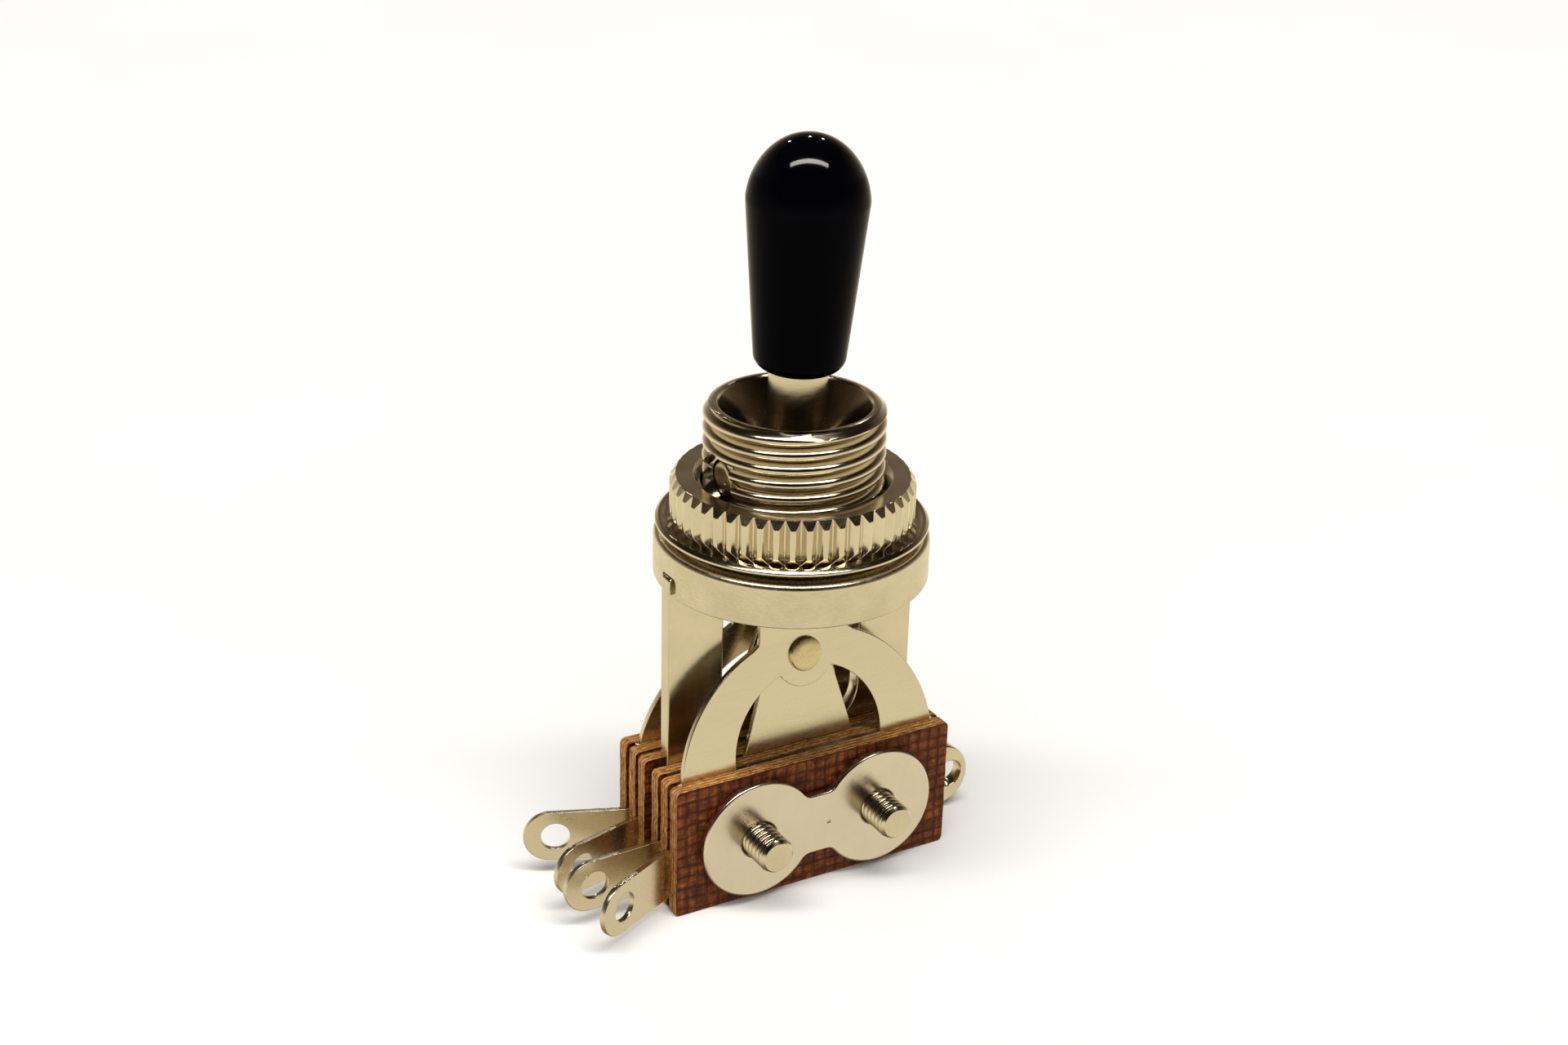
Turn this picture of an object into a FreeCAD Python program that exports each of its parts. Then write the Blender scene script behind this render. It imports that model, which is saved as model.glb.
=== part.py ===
"""A three-way lever switch: a lever in a threaded bushing opens one of two leaf-spring contacts.

Frame: millimetres, +Z up along the bushing's axis, z = 0 on the seat that meets the panel. The leaves and
boards lie in planes parallel to XZ. The front, where the clamp plate is, faces -Y, and the solder lugs
point to -X.
"""
import FreeCAD, Part
import math
import os

import Sketcher

DIMENSIONS = {
    # Bushing, and what is mounted on its thread.
    "thread_radius": (6.0, "crest radius of the M12 x 1 thread"),
    "thread_root_radius": (5.4, "root radius of the thread"),
    "thread_pitch": (1.0, "distance between crests"),
    "thread_crest": (0.24, "width of a crest's flat"),
    "thread_turns": (8, "crests on the bushing"),
    "lowest_crest": (0.93, "height of the lowest crest"),
    "flank_angle": (30, "slope of a thread's flanks, degrees"),
    "bushing_top": (8.575, "top of the bushing"),
    "mouth_radius": (4.95, "bore at the top of the bushing"),
    "rim_radius": (5.57, "outer edge of the bushing's top face"),
    "bore_radius": (3.2, "bore below the flared mouth"),
    "mouth_bottom": (5.4, "where the flare ends"),
    "spigot_radius": (5.0, "part of the bushing inside the collar"),
    "stake_radius": (6.0, "rim staked under the collar's roof"),
    "stake_height": (0.55, "height of the staked rim"),
    "nut_radius": (8.1, "over the nut's teeth"),
    "nut_bottom": (0.5, "underside of the nut"),
    "nut_top": (3.6, "top of the nut"),
    "nut_chamfer": (0.4, "height of the chamfer on the nut's edges"),
    "nut_face_radius": (7.75, "edge of the nut's flat faces"),
    "nut_bore_radius": (6.06, "clears the thread crests"),
    "nut_mouth_radius": (6.55, "countersink at the nut's top"),
    "knurl_depth": (0.3, "depth of a tooth gap"),
    "knurl_gap": (0.6, "width of a tooth gap at its mouth"),
    "knurl_teeth": (48, "teeth round the nut"),
    "washer_radius": (9.04, "outer edge of the dress washer"),
    "washer_bore_radius": (6.12, "bore of the dress washer"),
    "washer_rim": (0.69, "top of the washer's raised rim"),
    "washer_rim_width": (0.55, "width of the raised rim"),
    # Collar.
    "collar_radius": (9.15, "outside of the collar"),
    "collar_bottom": (-3.25, "lower edge of the collar"),
    "collar_shoulder": (-0.26, "top of the collar outside its seat"),
    "collar_edge_radius": (0.35, "rounding of the collar's top edge"),
    "collar_wall": (1.0, "thickness of the collar's wall"),
    "collar_roof": (-1.1, "underside of the collar's roof"),
    "seat_radius": (7.8, "raised seat on the collar"),
    "notch_width": (1.8, "width of a notch for a leg"),
    "notch_top": (-1.9, "top of a notch for a leg"),
    # Frame.
    "frame_thickness": (1.05, "thickness of the frame plate"),
    "leg_outer": (9.39, "outer edge of a leg, from the axis"),
    "leg_inner": (5.3, "inner edge of a leg, from the axis"),
    "tenon_outer": (7.9, "outer edge of the leg inside the collar"),
    "tenon_inner": (6.2, "inner edge of the leg inside the collar"),
    "leg_fillet": (2.5, "inside corner between a leg and the web"),
    "ground_lug_tip": (15.0, "tip of the ground lug, from the axis"),
    "ground_lug_hole": (13.5, "wire hole of the ground lug, from the axis"),
    "ground_lug_width": (4.7, "width of the ground lug"),
    "ground_lug_height": (-22.4, "middle of the ground lug"),
    # Board stack and its screws.
    "board_length": (21.2, "length of a phenolic board"),
    "board_top": (-15.6, "top edge of the boards"),
    "board_bottom": (-25.1, "bottom edge of the boards, on which the switch stands"),
    "board_thickness": (0.95, "thickness of a board"),
    "board_corner": (0.8, "radius of a board's corners"),
    "screw_spacing": (9.3, "distance between the clamp screws"),
    "screw_height": (-20.4, "height of the clamp screws"),
    "screw_radius": (1.25, "crest radius of the M2.5 thread"),
    "screw_root_radius": (1.0, "root radius of the screw's thread"),
    "screw_pitch": (0.45, "pitch of the screw's thread"),
    "screw_crest": (0.1, "width of a screw crest's flat"),
    "screw_end": (7.4, "how far the screws reach in front of the axis"),
    "screw_turns": (4, "crests in front of the clamp plate"),
    "screw_head_radius": (2.2, "radius of a screw's head"),
    "screw_head_height": (1.3, "height of a screw's head"),
    "screw_slot_width": (0.6, "driver slot in a screw's head"),
    "screw_slot_depth": (0.6, "depth of the driver slot"),
    "sleeve_radius": (1.8, "outside of an insulating sleeve"),
    "fit_gap": (0.02, "clearance of fixed pieces round each other"),
    "clamp_radius": (4.25, "radius of the clamp plate's two discs"),
    "clamp_waist": (4.5, "height of the clamp plate's waist"),
    "clamp_thickness": (0.7, "thickness of the clamp plate"),
    "clamp_fillet": (0.8, "fillet between the waist and the discs"),
    # Leaves.
    "leaf_thickness": (0.4, "thickness of the leaf strip"),
    "leaf_plate_end": (10.0, "end of a leaf's clamped plate, from the axis"),
    "leaf_plate_bottom": (-24.5, "bottom of a leaf's clamped plate"),
    "flex_height": (-15.4, "line about which an outer leaf bends"),
    "outer_leaf_lean": (8.75, "lean of an outer leaf towards the axis, degrees"),
    "knee_height": (-6.9, "where an outer leaf turns upright"),
    "tab_top": (-2.1, "top of an outer leaf's tab"),
    "tab_width": (6.6, "width of an outer leaf's tab"),
    "arch_outer_radius": (9.78, "outside of the arch"),
    "arch_outer_centre": (-16.75, "centre height of the arch's outside"),
    "arch_inner_radius": (5.63, "inside of the arch"),
    "arch_inner_centre": (-15.17, "centre height of the arch's inside"),
    "arch_fillet": (0.7, "corner between the tab and the arch"),
    "boss_radius": (2.25, "rounded boss round the arch's contact"),
    "contact_height": (-8.7, "height of the contacts"),
    "inner_leaf_lean": (5.7, "lean of an inner leaf towards the axis, degrees"),
    "inner_leaf_foot": (8.4, "width of an inner leaf at the board's top"),
    "inner_leaf_radius": (2.1, "rounded top of an inner leaf"),
    "rivet_radius": (0.7, "shank of a contact rivet"),
    "rivet_head_radius": (1.2, "outer head of a contact rivet"),
    "rivet_head_height": (0.4, "height of a contact rivet's outer head"),
    "rivet_tail_height": (0.18, "height of an inner leaf's rivet tail"),
    "button_radius": (1.1, "contact button, on the side that meets its pair"),
    "button_dome": (2.4, "radius of the contact button's dome"),
    "contact_gap": (0.03, "space left between two closed contacts"),
    # Solder lugs.
    "lug_width": (3.7, "width of a solder lug"),
    "lug_height": (-22.3, "middle of the solder lugs"),
    "lug_bend": (10.75, "line where a lug bends, from the axis"),
    "lug_hole_reach": (4.8, "from the bend to the lug's hole"),
    "lug_reach": (7.0, "from the bend to the lug's tip"),
    "lug_hole_radius": (1.0, "wire hole in a lug"),
    "back_outer_lug_angle": (-21.5, "bend of the back outer leaf's lug, degrees"),
    "back_inner_lug_angle": (15.0, "bend of the back inner leaf's lug, degrees"),
    "front_inner_lug_angle": (2.5, "bend of the front inner leaf's lug, degrees"),
    "front_outer_lug_angle": (26.5, "bend of the front outer leaf's lug, degrees"),
    # Lever. Its heights are from the pivot, along the lever.
    "pivot_height": (4.2, "height of the pivot pin"),
    "lever_lean": (2.6, "lean of the lever at its middle position, degrees"),
    "pin_radius": (1.25, "radius of the pivot pin"),
    "pin_length": (10.4, "length of the pivot pin"),
    "pin_gap": (0.03, "running clearance round the pivot pin"),
    "pin_mouth_radius": (1.9, "counterbore outside the pivot pin"),
    "pin_mouth_depth": (0.7, "depth of the counterbore, from the crests"),
    "hub_radius": (2.9, "ball of the lever, inside the bushing"),
    "rod_radius": (1.95, "lever rod below the tip"),
    "rod_end_radius": (1.5, "end of the rod inside the tip"),
    "rod_end": (17.5, "upper end of the rod"),
    "stem_radius": (1.0, "lower stem of the lever"),
    "stem_end_radius": (0.6, "end of the stem inside the shoe"),
    "shoe_top": (-5.6, "top of the shoe"),
    "shoe_centre": (-8.3, "centre of the shoe's round end"),
    "shoe_radius": (1.06, "radius of the shoe's round end"),
    "shoe_neck_radius": (0.9, "radius of the shoe above its round end"),
    "tip_bottom": (7.0, "lower end of the tip"),
    "tip_crease": (18.28, "where the tip's cone meets its dome"),
    "tip_top": (22.56, "top of the tip"),
    "tip_radius": (3.93, "widest radius of the tip"),
    "tip_neck_radius": (2.95, "radius of the tip just above its rounded end"),
    "tip_edge_radius": (0.9, "rounding of the tip's lower end"),
    "tip_socket": (18.0, "depth of the tip's socket, from the pivot"),
}

NEAR = 0.01  # tolerance when an edge is picked by its place
OVERSHOOT = 5  # how far a cutting outline reaches past what it cuts
OVERLAP = 1  # how far a strip or a slot reaches into or past its neighbour


class Size:
    """A value in millimetres or degrees, and the expression that binds a property to it."""

    def __init__(self, value, formula):
        self.value = value
        self.formula = formula

    def __add__(self, other):
        other = as_size(other)
        return Size(self.value + other.value, f"({self.formula} + {other.formula})")

    def __sub__(self, other):
        other = as_size(other)
        return Size(self.value - other.value, f"({self.formula} - {other.formula})")

    def __mul__(self, other):
        other = as_size(other)
        return Size(self.value * other.value, f"({self.formula} * {other.formula})")

    def __truediv__(self, other):
        other = as_size(other)
        return Size(self.value / other.value, f"({self.formula} / {other.formula})")

    def __neg__(self):
        return Size(-self.value, f"(0 - {self.formula})")


def as_size(number):
    return number if isinstance(number, Size) else Size(float(number), repr(float(number)))


def size(name):
    return Size(float(DIMENSIONS[name][0]), f"Sizes.{name}")


def root(square):
    return Size(math.sqrt(square.value), f"sqrt({square.formula})")


def chord(radius, offset):
    """Half the chord of a circle at a distance from its centre."""
    return root(radius * radius - offset * offset)


def tangent(angle):
    return Size(math.tan(math.radians(angle.value)), f"tan({angle.formula} * 1 deg)")


class Arc:
    """The edge that ends at x, y is an arc about a centre, anticlockwise or clockwise."""

    def __init__(self, x, y, centre_x, centre_y, clockwise=False):
        self.end = (as_size(x), as_size(y))
        self.centre = (as_size(centre_x), as_size(centre_y))
        self.clockwise = clockwise


doc = FreeCAD.newDocument("lever_switch")


def fill_sheet():
    sheet = doc.addObject("Spreadsheet::Sheet", "Sizes")
    for row, (name, (value, meaning)) in enumerate(DIMENSIONS.items(), start=1):
        sheet.set(f"A{row}", meaning)
        sheet.set(f"B{row}", str(value))
        sheet.setAlias(f"B{row}", name)
    doc.recompute()


def vector(point):
    return FreeCAD.Vector(point[0].value, point[1].value, 0)


def new_body(label):
    body = doc.addObject("PartDesign::Body", label)
    body.Label = label
    return body


def place(body, x=0, y=0, z=0, tilt=0):
    """Moves a body and tilts it about the X axis through its own origin."""
    body.Placement = FreeCAD.Placement(FreeCAD.Vector(), FreeCAD.Rotation(FreeCAD.Vector(1, 0, 0), 1))
    for prop, amount in (("Base.x", x), ("Base.y", y), ("Base.z", z), ("Rotation.Angle", tilt)):
        body.setExpression(f"Placement.{prop}", as_size(amount).formula)


def new_sketch(body, plane, along_x=0, above=0, turn=0):
    """A sketch on an origin plane, moved along its own X, raised off the plane and turned about its own Y."""
    sketch = body.newObject("Sketcher::SketchObject", f"{body.Label}_sketch")
    origin_plane = next(feature for feature in body.Origin.OriginFeatures if feature.Role == plane)
    sketch.AttachmentSupport = [(origin_plane, "")]
    sketch.MapMode = "FlatFace"
    sketch.AttachmentOffset = FreeCAD.Placement(
        FreeCAD.Vector(), FreeCAD.Rotation(FreeCAD.Vector(0, 1, 0), 1)
    )
    for prop, amount in (("Base.x", along_x), ("Base.z", above), ("Rotation.Angle", turn)):
        sketch.setExpression(f"AttachmentOffset.{prop}", as_size(amount).formula)
    return sketch


def constrain(sketch, kind, place_on_edge, amount):
    index = sketch.addConstraint(Sketcher.Constraint(kind, *place_on_edge, amount.value))
    sketch.setExpression(f"Constraints[{index}]", amount.formula)


def draw_loop(sketch, vertices):
    """Closes lines and arcs into a loop whose vertices are held by their coordinates.

    The centre of an arc can still slide along the middle line of its chord, so one coordinate of it is
    held too.
    """
    steps = [step if isinstance(step, Arc) else (as_size(step[0]), as_size(step[1])) for step in vertices]
    ends = [step.end if isinstance(step, Arc) else step for step in steps]
    edges = []
    for index, step in enumerate(steps):
        start, end = vector(ends[index - 1]), vector(ends[index])
        if not isinstance(step, Arc):
            edges.append((sketch.addGeometry(Part.LineSegment(start, end)), 1, 2))
            continue
        centre = vector(step.centre)
        first, last = (end, start) if step.clockwise else (start, end)
        angles = [math.atan2(point.y - centre.y, point.x - centre.x) for point in (first, last)]
        circle = Part.Circle(centre, FreeCAD.Vector(0, 0, 1), centre.distanceToPoint(start))
        edge = sketch.addGeometry(Part.ArcOfCircle(circle, *angles))
        edges.append((edge, 2, 1) if step.clockwise else (edge, 1, 2))
    for index, (edge, start, end) in enumerate(edges):
        following = edges[(index + 1) % len(edges)]
        sketch.addConstraint(Sketcher.Constraint("Coincident", edge, end, following[0], following[1]))
        constrain(sketch, "DistanceX", (-1, 1, edge, end), ends[index][0])
        constrain(sketch, "DistanceY", (-1, 1, edge, end), ends[index][1])
        if isinstance(steps[index], Arc):
            across = vector(ends[index]) - vector(ends[index - 1])
            upright_middle_line = abs(across.x) > abs(across.y)
            kind = "DistanceY" if upright_middle_line else "DistanceX"
            constrain(sketch, kind, (-1, 1, edge, 3), steps[index].centre[int(upright_middle_line)])


def draw_circle(sketch, x, y, radius):
    centre = (as_size(x), as_size(y))
    edge = sketch.addGeometry(Part.Circle(vector(centre), FreeCAD.Vector(0, 0, 1), radius.value))
    constrain(sketch, "DistanceX", (-1, 1, edge, 3), centre[0])
    constrain(sketch, "DistanceY", (-1, 1, edge, 3), centre[1])
    constrain(sketch, "Radius", (edge,), radius)


def draw_rectangle(sketch, left, bottom, right, top):
    draw_loop(sketch, [(left, bottom), (right, bottom), (right, top), (left, top)])


def add_feature(body, kind, sketch):
    feature = body.newObject(f"PartDesign::{kind}", f"{body.Label}_{kind.lower()}")
    feature.Profile = sketch
    return feature


def pad(body, sketch, length, midplane=True):
    feature = add_feature(body, "Pad", sketch)
    feature.Midplane = midplane
    feature.setExpression("Length", as_size(length).formula)
    return feature


def pocket_through(body, sketch):
    """Cuts the sketch right through, both ways from its plane."""
    doc.recompute()
    before = body.Shape.Volume
    feature = add_feature(body, "Pocket", sketch)
    feature.Midplane = True
    feature.Type = "ThroughAll"
    doc.recompute()
    if not body.Shape.Volume < before:
        raise RuntimeError(f"{feature.Label} cuts nothing")
    return feature


def revolve(body, sketch):
    feature = add_feature(body, "Revolution", sketch)
    feature.ReferenceAxis = (sketch, ["V_Axis"])
    feature.Angle = 360
    return feature


def corner_edges(shape, distance, *heights):
    """Names of a plate's edges through its thickness, at a distance either side of x = 0 and at heights."""
    names = []
    for index, edge in enumerate(shape.Edges, start=1):
        middle = edge.CenterOfMass
        through = edge.Curve.TypeId == "Part::GeomLine" and abs(edge.Curve.Direction.y) > 1 - NEAR
        here = any(abs(middle.z - height.value) < NEAR for height in heights)
        if through and here and abs(abs(middle.x) - distance.value) < NEAR:
            names.append(f"Edge{index}")
    return names


def fillet(body, base, edge_names, radius):
    feature = body.newObject("PartDesign::Fillet", f"{body.Label}_fillet")
    feature.Base = (base, edge_names)
    feature.setExpression("Radius", radius.formula)
    return feature


# Layers of the stack, from the frame in the middle outwards: how far each layer's centre is from the axis.
INNER_BOARD = (size("frame_thickness") + size("board_thickness")) / 2
INNER_LEAF = INNER_BOARD + (size("board_thickness") + size("leaf_thickness")) / 2
MIDDLE_BOARD = INNER_LEAF + (size("board_thickness") + size("leaf_thickness")) / 2
OUTER_LEAF = MIDDLE_BOARD + (size("board_thickness") + size("leaf_thickness")) / 2
COVER_BOARD = OUTER_LEAF + (size("board_thickness") + size("leaf_thickness")) / 2
STACK_FACE = COVER_BOARD + size("board_thickness") / 2

SIDES = {"front": -1, "back": 1}
SCREW_SIDES = {"left": -1, "right": 1}


def screw_holes(sketch, radius):
    for side in SCREW_SIDES.values():
        draw_circle(sketch, size("screw_spacing") / 2 * side, size("screw_height"), radius)


def make_bushing():
    """A tube with a flared mouth, thread crests outside and a rim staked under the collar's roof."""
    body = new_body("threaded_bushing")
    half_crest = size("thread_crest") / 2
    flank = (size("thread_radius") - size("thread_root_radius")) * tangent(size("flank_angle"))
    stake_bottom = size("collar_roof") - size("stake_height")
    profile = [
        (size("bore_radius"), stake_bottom),
        (size("stake_radius"), stake_bottom),
        (size("stake_radius"), size("collar_roof")),
        (size("spigot_radius"), size("collar_roof")),
        (size("spigot_radius"), 0),
        (size("thread_root_radius"), 0),
    ]
    for turn in range(int(size("thread_turns").value)):
        crest = size("lowest_crest") + size("thread_pitch") * turn
        profile += [
            (size("thread_root_radius"), crest - half_crest - flank),
            (size("thread_radius"), crest - half_crest),
            (size("thread_radius"), crest + half_crest),
            (size("thread_root_radius"), crest + half_crest + flank),
        ]
    profile += [
        (size("rim_radius"), size("bushing_top") - half_crest),
        (size("rim_radius"), size("bushing_top")),
        (size("mouth_radius"), size("bushing_top")),
        (size("bore_radius"), size("mouth_bottom")),
    ]
    sketch = new_sketch(body, "XZ_Plane")
    draw_loop(sketch, profile)
    revolve(body, sketch)
    pin_hole = new_sketch(body, "YZ_Plane")
    draw_circle(pin_hole, 0, size("pivot_height"), size("pin_radius") + size("pin_gap"))
    pocket_through(body, pin_hole)
    for side in (-1, 1):
        mouth = new_sketch(body, "YZ_Plane", above=(size("thread_radius") - size("pin_mouth_depth")) * side)
        draw_circle(mouth, 0, size("pivot_height"), size("pin_mouth_radius"))
        before = body.Shape.Volume
        counterbore = add_feature(body, "Pocket", mouth)
        counterbore.Reversed = side > 0
        counterbore.setExpression("Length", (size("pin_mouth_depth") * 2).formula)
        doc.recompute()
        if not body.Shape.Volume < before:
            raise RuntimeError("a counterbore cuts nothing")


def make_collar():
    """A cup with a raised seat on its roof and a notch at each end of the X axis for a frame leg."""
    body = new_body("body_collar")
    inside = size("collar_radius") - size("collar_wall")
    edge = size("collar_radius") - size("collar_edge_radius")
    sketch = new_sketch(body, "XZ_Plane")
    draw_loop(sketch, [
        (size("spigot_radius") + size("fit_gap"), 0),
        (size("spigot_radius") + size("fit_gap"), size("collar_roof")),
        (inside, size("collar_roof")),
        (inside, size("collar_bottom")),
        (size("collar_radius"), size("collar_bottom")),
        (size("collar_radius"), size("collar_shoulder") - size("collar_edge_radius")),
        Arc(edge, size("collar_shoulder"),
            edge, size("collar_shoulder") - size("collar_edge_radius")),
        (size("seat_radius"), size("collar_shoulder")),
        (size("seat_radius"), 0),
    ])
    revolve(body, sketch)
    notch = new_sketch(body, "YZ_Plane")
    half = size("notch_width") / 2
    draw_rectangle(notch, -half, size("collar_bottom") - 1, half, size("notch_top"))
    pocket_through(body, notch)


def make_washer():
    body = new_body("dress_washer")
    rim_inside = size("washer_radius") - size("washer_rim_width")
    rounding = size("washer_rim_width") / 2
    sketch = new_sketch(body, "XZ_Plane")
    draw_loop(sketch, [
        (size("washer_bore_radius"), 0),
        (size("washer_radius") - rounding / 2, 0),
        (size("washer_radius"), rounding / 2),
        (size("washer_radius"), size("washer_rim") - rounding),
        Arc(size("washer_radius") - rounding, size("washer_rim"),
            size("washer_radius") - rounding, size("washer_rim") - rounding),
        (rim_inside, size("nut_bottom")),
        (size("washer_bore_radius"), size("nut_bottom")),
    ])
    revolve(body, sketch)


def make_nut():
    """A round nut: a chamfered ring with its tooth gaps cut by one pocket, repeated round the axis."""
    body = new_body("mounting_nut")
    bottom, top = size("nut_bottom"), size("nut_top")
    countersink = size("nut_mouth_radius") - size("nut_bore_radius")
    sketch = new_sketch(body, "XZ_Plane")
    draw_loop(sketch, [
        (size("nut_bore_radius"), bottom),
        (size("nut_face_radius"), bottom),
        (size("nut_radius"), bottom + size("nut_chamfer")),
        (size("nut_radius"), top - size("nut_chamfer")),
        (size("nut_face_radius"), top),
        (size("nut_mouth_radius"), top),
        (size("nut_bore_radius"), top - countersink),
    ])
    revolve(body, sketch)
    doc.recompute()
    before = body.Shape.Volume
    gap = new_sketch(body, "XY_Plane")
    slope = size("knurl_gap") / 2 / size("knurl_depth")
    mouth = size("nut_radius") + size("knurl_depth")
    draw_loop(gap, [
        (size("nut_radius") - size("knurl_depth"), 0),
        (mouth, -slope * size("knurl_depth") * 2),
        (mouth, slope * size("knurl_depth") * 2),
    ])
    cut = pocket_through(body, gap)
    pattern = body.newObject("PartDesign::PolarPattern", "mounting_nut_teeth")
    pattern.Originals = [cut]
    pattern.Axis = (gap, ["N_Axis"])
    pattern.Angle = 360
    pattern.setExpression("Occurrences", "Sizes.knurl_teeth")
    body.Tip = pattern
    doc.recompute()
    one_gap = before - cut.Shape.Volume
    if before - body.Shape.Volume < one_gap * (size("knurl_teeth").value - 1):
        raise RuntimeError("the nut's teeth are incomplete")


def make_frame():
    """One flat plate: a clamped web, two legs that stand in the collar, and the ground lug at +X."""
    body = new_body("frame")
    web_top, bottom = size("board_top"), size("board_bottom")
    inner, outer = size("leg_inner"), size("leg_outer")
    tenon_inner, tenon_outer = size("tenon_inner"), size("tenon_outer")
    lug_top = size("ground_lug_height") + size("ground_lug_width") / 2
    lug_bottom = size("ground_lug_height") - size("ground_lug_width") / 2
    lug_centre = size("ground_lug_tip") - size("ground_lug_width") / 2
    sketch = new_sketch(body, "XZ_Plane")
    draw_loop(sketch, [
        (-outer, bottom),
        (outer, bottom),
        (outer, lug_bottom),
        (lug_centre, lug_bottom),
        Arc(lug_centre, lug_top, lug_centre, size("ground_lug_height")),
        (outer, lug_top),
        (outer, size("notch_top")),
        (tenon_outer, size("notch_top")),
        (tenon_outer, size("collar_roof")),
        (tenon_inner, size("collar_roof")),
        (tenon_inner, size("notch_top")),
        (inner, size("notch_top")),
        (inner, web_top),
        (-inner, web_top),
        (-inner, size("notch_top")),
        (-tenon_inner, size("notch_top")),
        (-tenon_inner, size("collar_roof")),
        (-tenon_outer, size("collar_roof")),
        (-tenon_outer, size("notch_top")),
        (-outer, size("notch_top")),
    ])
    screw_holes(sketch, size("sleeve_radius") + size("fit_gap"))
    draw_circle(sketch, size("ground_lug_hole"), size("ground_lug_height"), size("lug_hole_radius"))
    plate = pad(body, sketch, size("frame_thickness"))
    doc.recompute()
    fillet(body, plate, corner_edges(plate.Shape, inner, web_top), size("leg_fillet"))


def make_board(label, layer, hole_radius):
    """A phenolic board with rounded corners and two holes."""
    body = new_body(label)
    half = size("board_length") / 2
    sketch = new_sketch(body, "XZ_Plane")
    bottom, top = size("board_bottom"), size("board_top")
    draw_rectangle(sketch, -half, bottom, half, top)
    screw_holes(sketch, hole_radius)
    plate = pad(body, sketch, size("board_thickness"))
    doc.recompute()
    fillet(body, plate, corner_edges(plate.Shape, half, bottom, top), size("board_corner"))
    place(body, y=layer)


def add_solder_lug(body, angle):
    """A strip that leaves the clamped plate at -X, bent about a vertical line, with a wire hole at its end."""
    half = size("lug_width") / 2
    neck = new_sketch(body, "XZ_Plane")
    draw_rectangle(
        neck, -size("lug_bend"), size("lug_height") - half,
        -size("leaf_plate_end") + OVERLAP, size("lug_height") + half,
    )
    pad(body, neck, size("leaf_thickness"))
    bend = new_sketch(body, "XY_Plane", above=size("lug_height") - half)
    draw_circle(bend, -size("lug_bend"), 0, size("leaf_thickness") / 2)
    pad(body, bend, size("lug_width"), midplane=False)
    strip = new_sketch(body, "XZ_Plane", along_x=-size("lug_bend"), turn=angle)
    round_end = half - size("lug_reach")
    draw_loop(strip, [
        (0, size("lug_height") + half),
        (round_end, size("lug_height") + half),
        Arc(round_end, size("lug_height") - half, round_end, size("lug_height")),
        (0, size("lug_height") - half),
    ])
    draw_circle(strip, -size("lug_hole_reach"), size("lug_height"), size("lug_hole_radius"))
    return pad(body, strip, size("leaf_thickness"))


def make_outer_terminal(side, sign):
    """The clamped part of an outer leaf, with its solder lug."""
    body = new_body(f"{side}_outer_terminal")
    sketch = new_sketch(body, "XZ_Plane")
    end = size("leaf_plate_end")
    draw_rectangle(sketch, -end, size("leaf_plate_bottom"), end, size("board_top") - size("fit_gap"))
    screw_holes(sketch, size("sleeve_radius") + size("fit_gap"))
    pad(body, sketch, size("leaf_thickness"))
    add_solder_lug(body, size(f"{side}_outer_lug_angle"))
    place(body, y=OUTER_LEAF * sign)


def make_outer_blade(side, sign):
    """The free arch of an outer leaf, from the line where it bends up to its tab inside the collar.

    It is the common part of two views: its edge seen along X, and its face seen along Y.
    """
    body = new_body(f"{side}_outer_blade")
    half = size("leaf_thickness") / 2
    flex, knee, top = size("flex_height"), size("knee_height"), size("tab_top")
    inward = -tangent(size("outer_leaf_lean")) * (knee - flex) * sign
    edge_view = new_sketch(body, "YZ_Plane")
    draw_loop(edge_view, [
        Arc(half, flex, 0, flex),
        (inward + half, knee),
        (inward + half, top),
        (inward - half, top),
        (inward - half, knee),
        (-half, flex),
    ])
    pad(body, edge_view, size("arch_outer_radius") * 2)

    outer, inner, boss = size("arch_outer_radius"), size("arch_inner_radius"), size("boss_radius")
    outer_z, inner_z, boss_z = size("arch_outer_centre"), size("arch_inner_centre"), size("contact_height")
    foot = flex - size("leaf_thickness")
    outer_foot, inner_foot = chord(outer, foot - outer_z), chord(inner, foot - inner_z)
    tab = size("tab_width") / 2
    shoulder = outer_z + chord(outer, tab)
    span = boss_z - inner_z
    crossing = (inner * inner - boss * boss + span * span) / (span * 2)
    crossing_x, crossing_z = chord(inner, crossing), inner_z + crossing
    far = outer + OVERSHOOT
    face_view = new_sketch(body, "XZ_Plane")
    draw_rectangle(face_view, -far, foot - OVERSHOOT, far, top + OVERSHOOT)
    draw_loop(face_view, [
        Arc(inner_foot, foot, 0, inner_z, clockwise=True),
        (outer_foot, foot),
        Arc(tab, shoulder, 0, outer_z),
        (tab, top),
        (-tab, top),
        (-tab, shoulder),
        Arc(-outer_foot, foot, 0, outer_z),
        (-inner_foot, foot),
        Arc(-crossing_x, crossing_z, 0, inner_z, clockwise=True),
        Arc(crossing_x, crossing_z, 0, boss_z),
    ])
    draw_circle(face_view, 0, boss_z, size("rivet_radius"))
    cut = pocket_through(body, face_view)
    fillet(body, cut, corner_edges(cut.Shape, tab, shoulder), size("arch_fillet"))
    place(body, y=OUTER_LEAF * sign)


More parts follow.
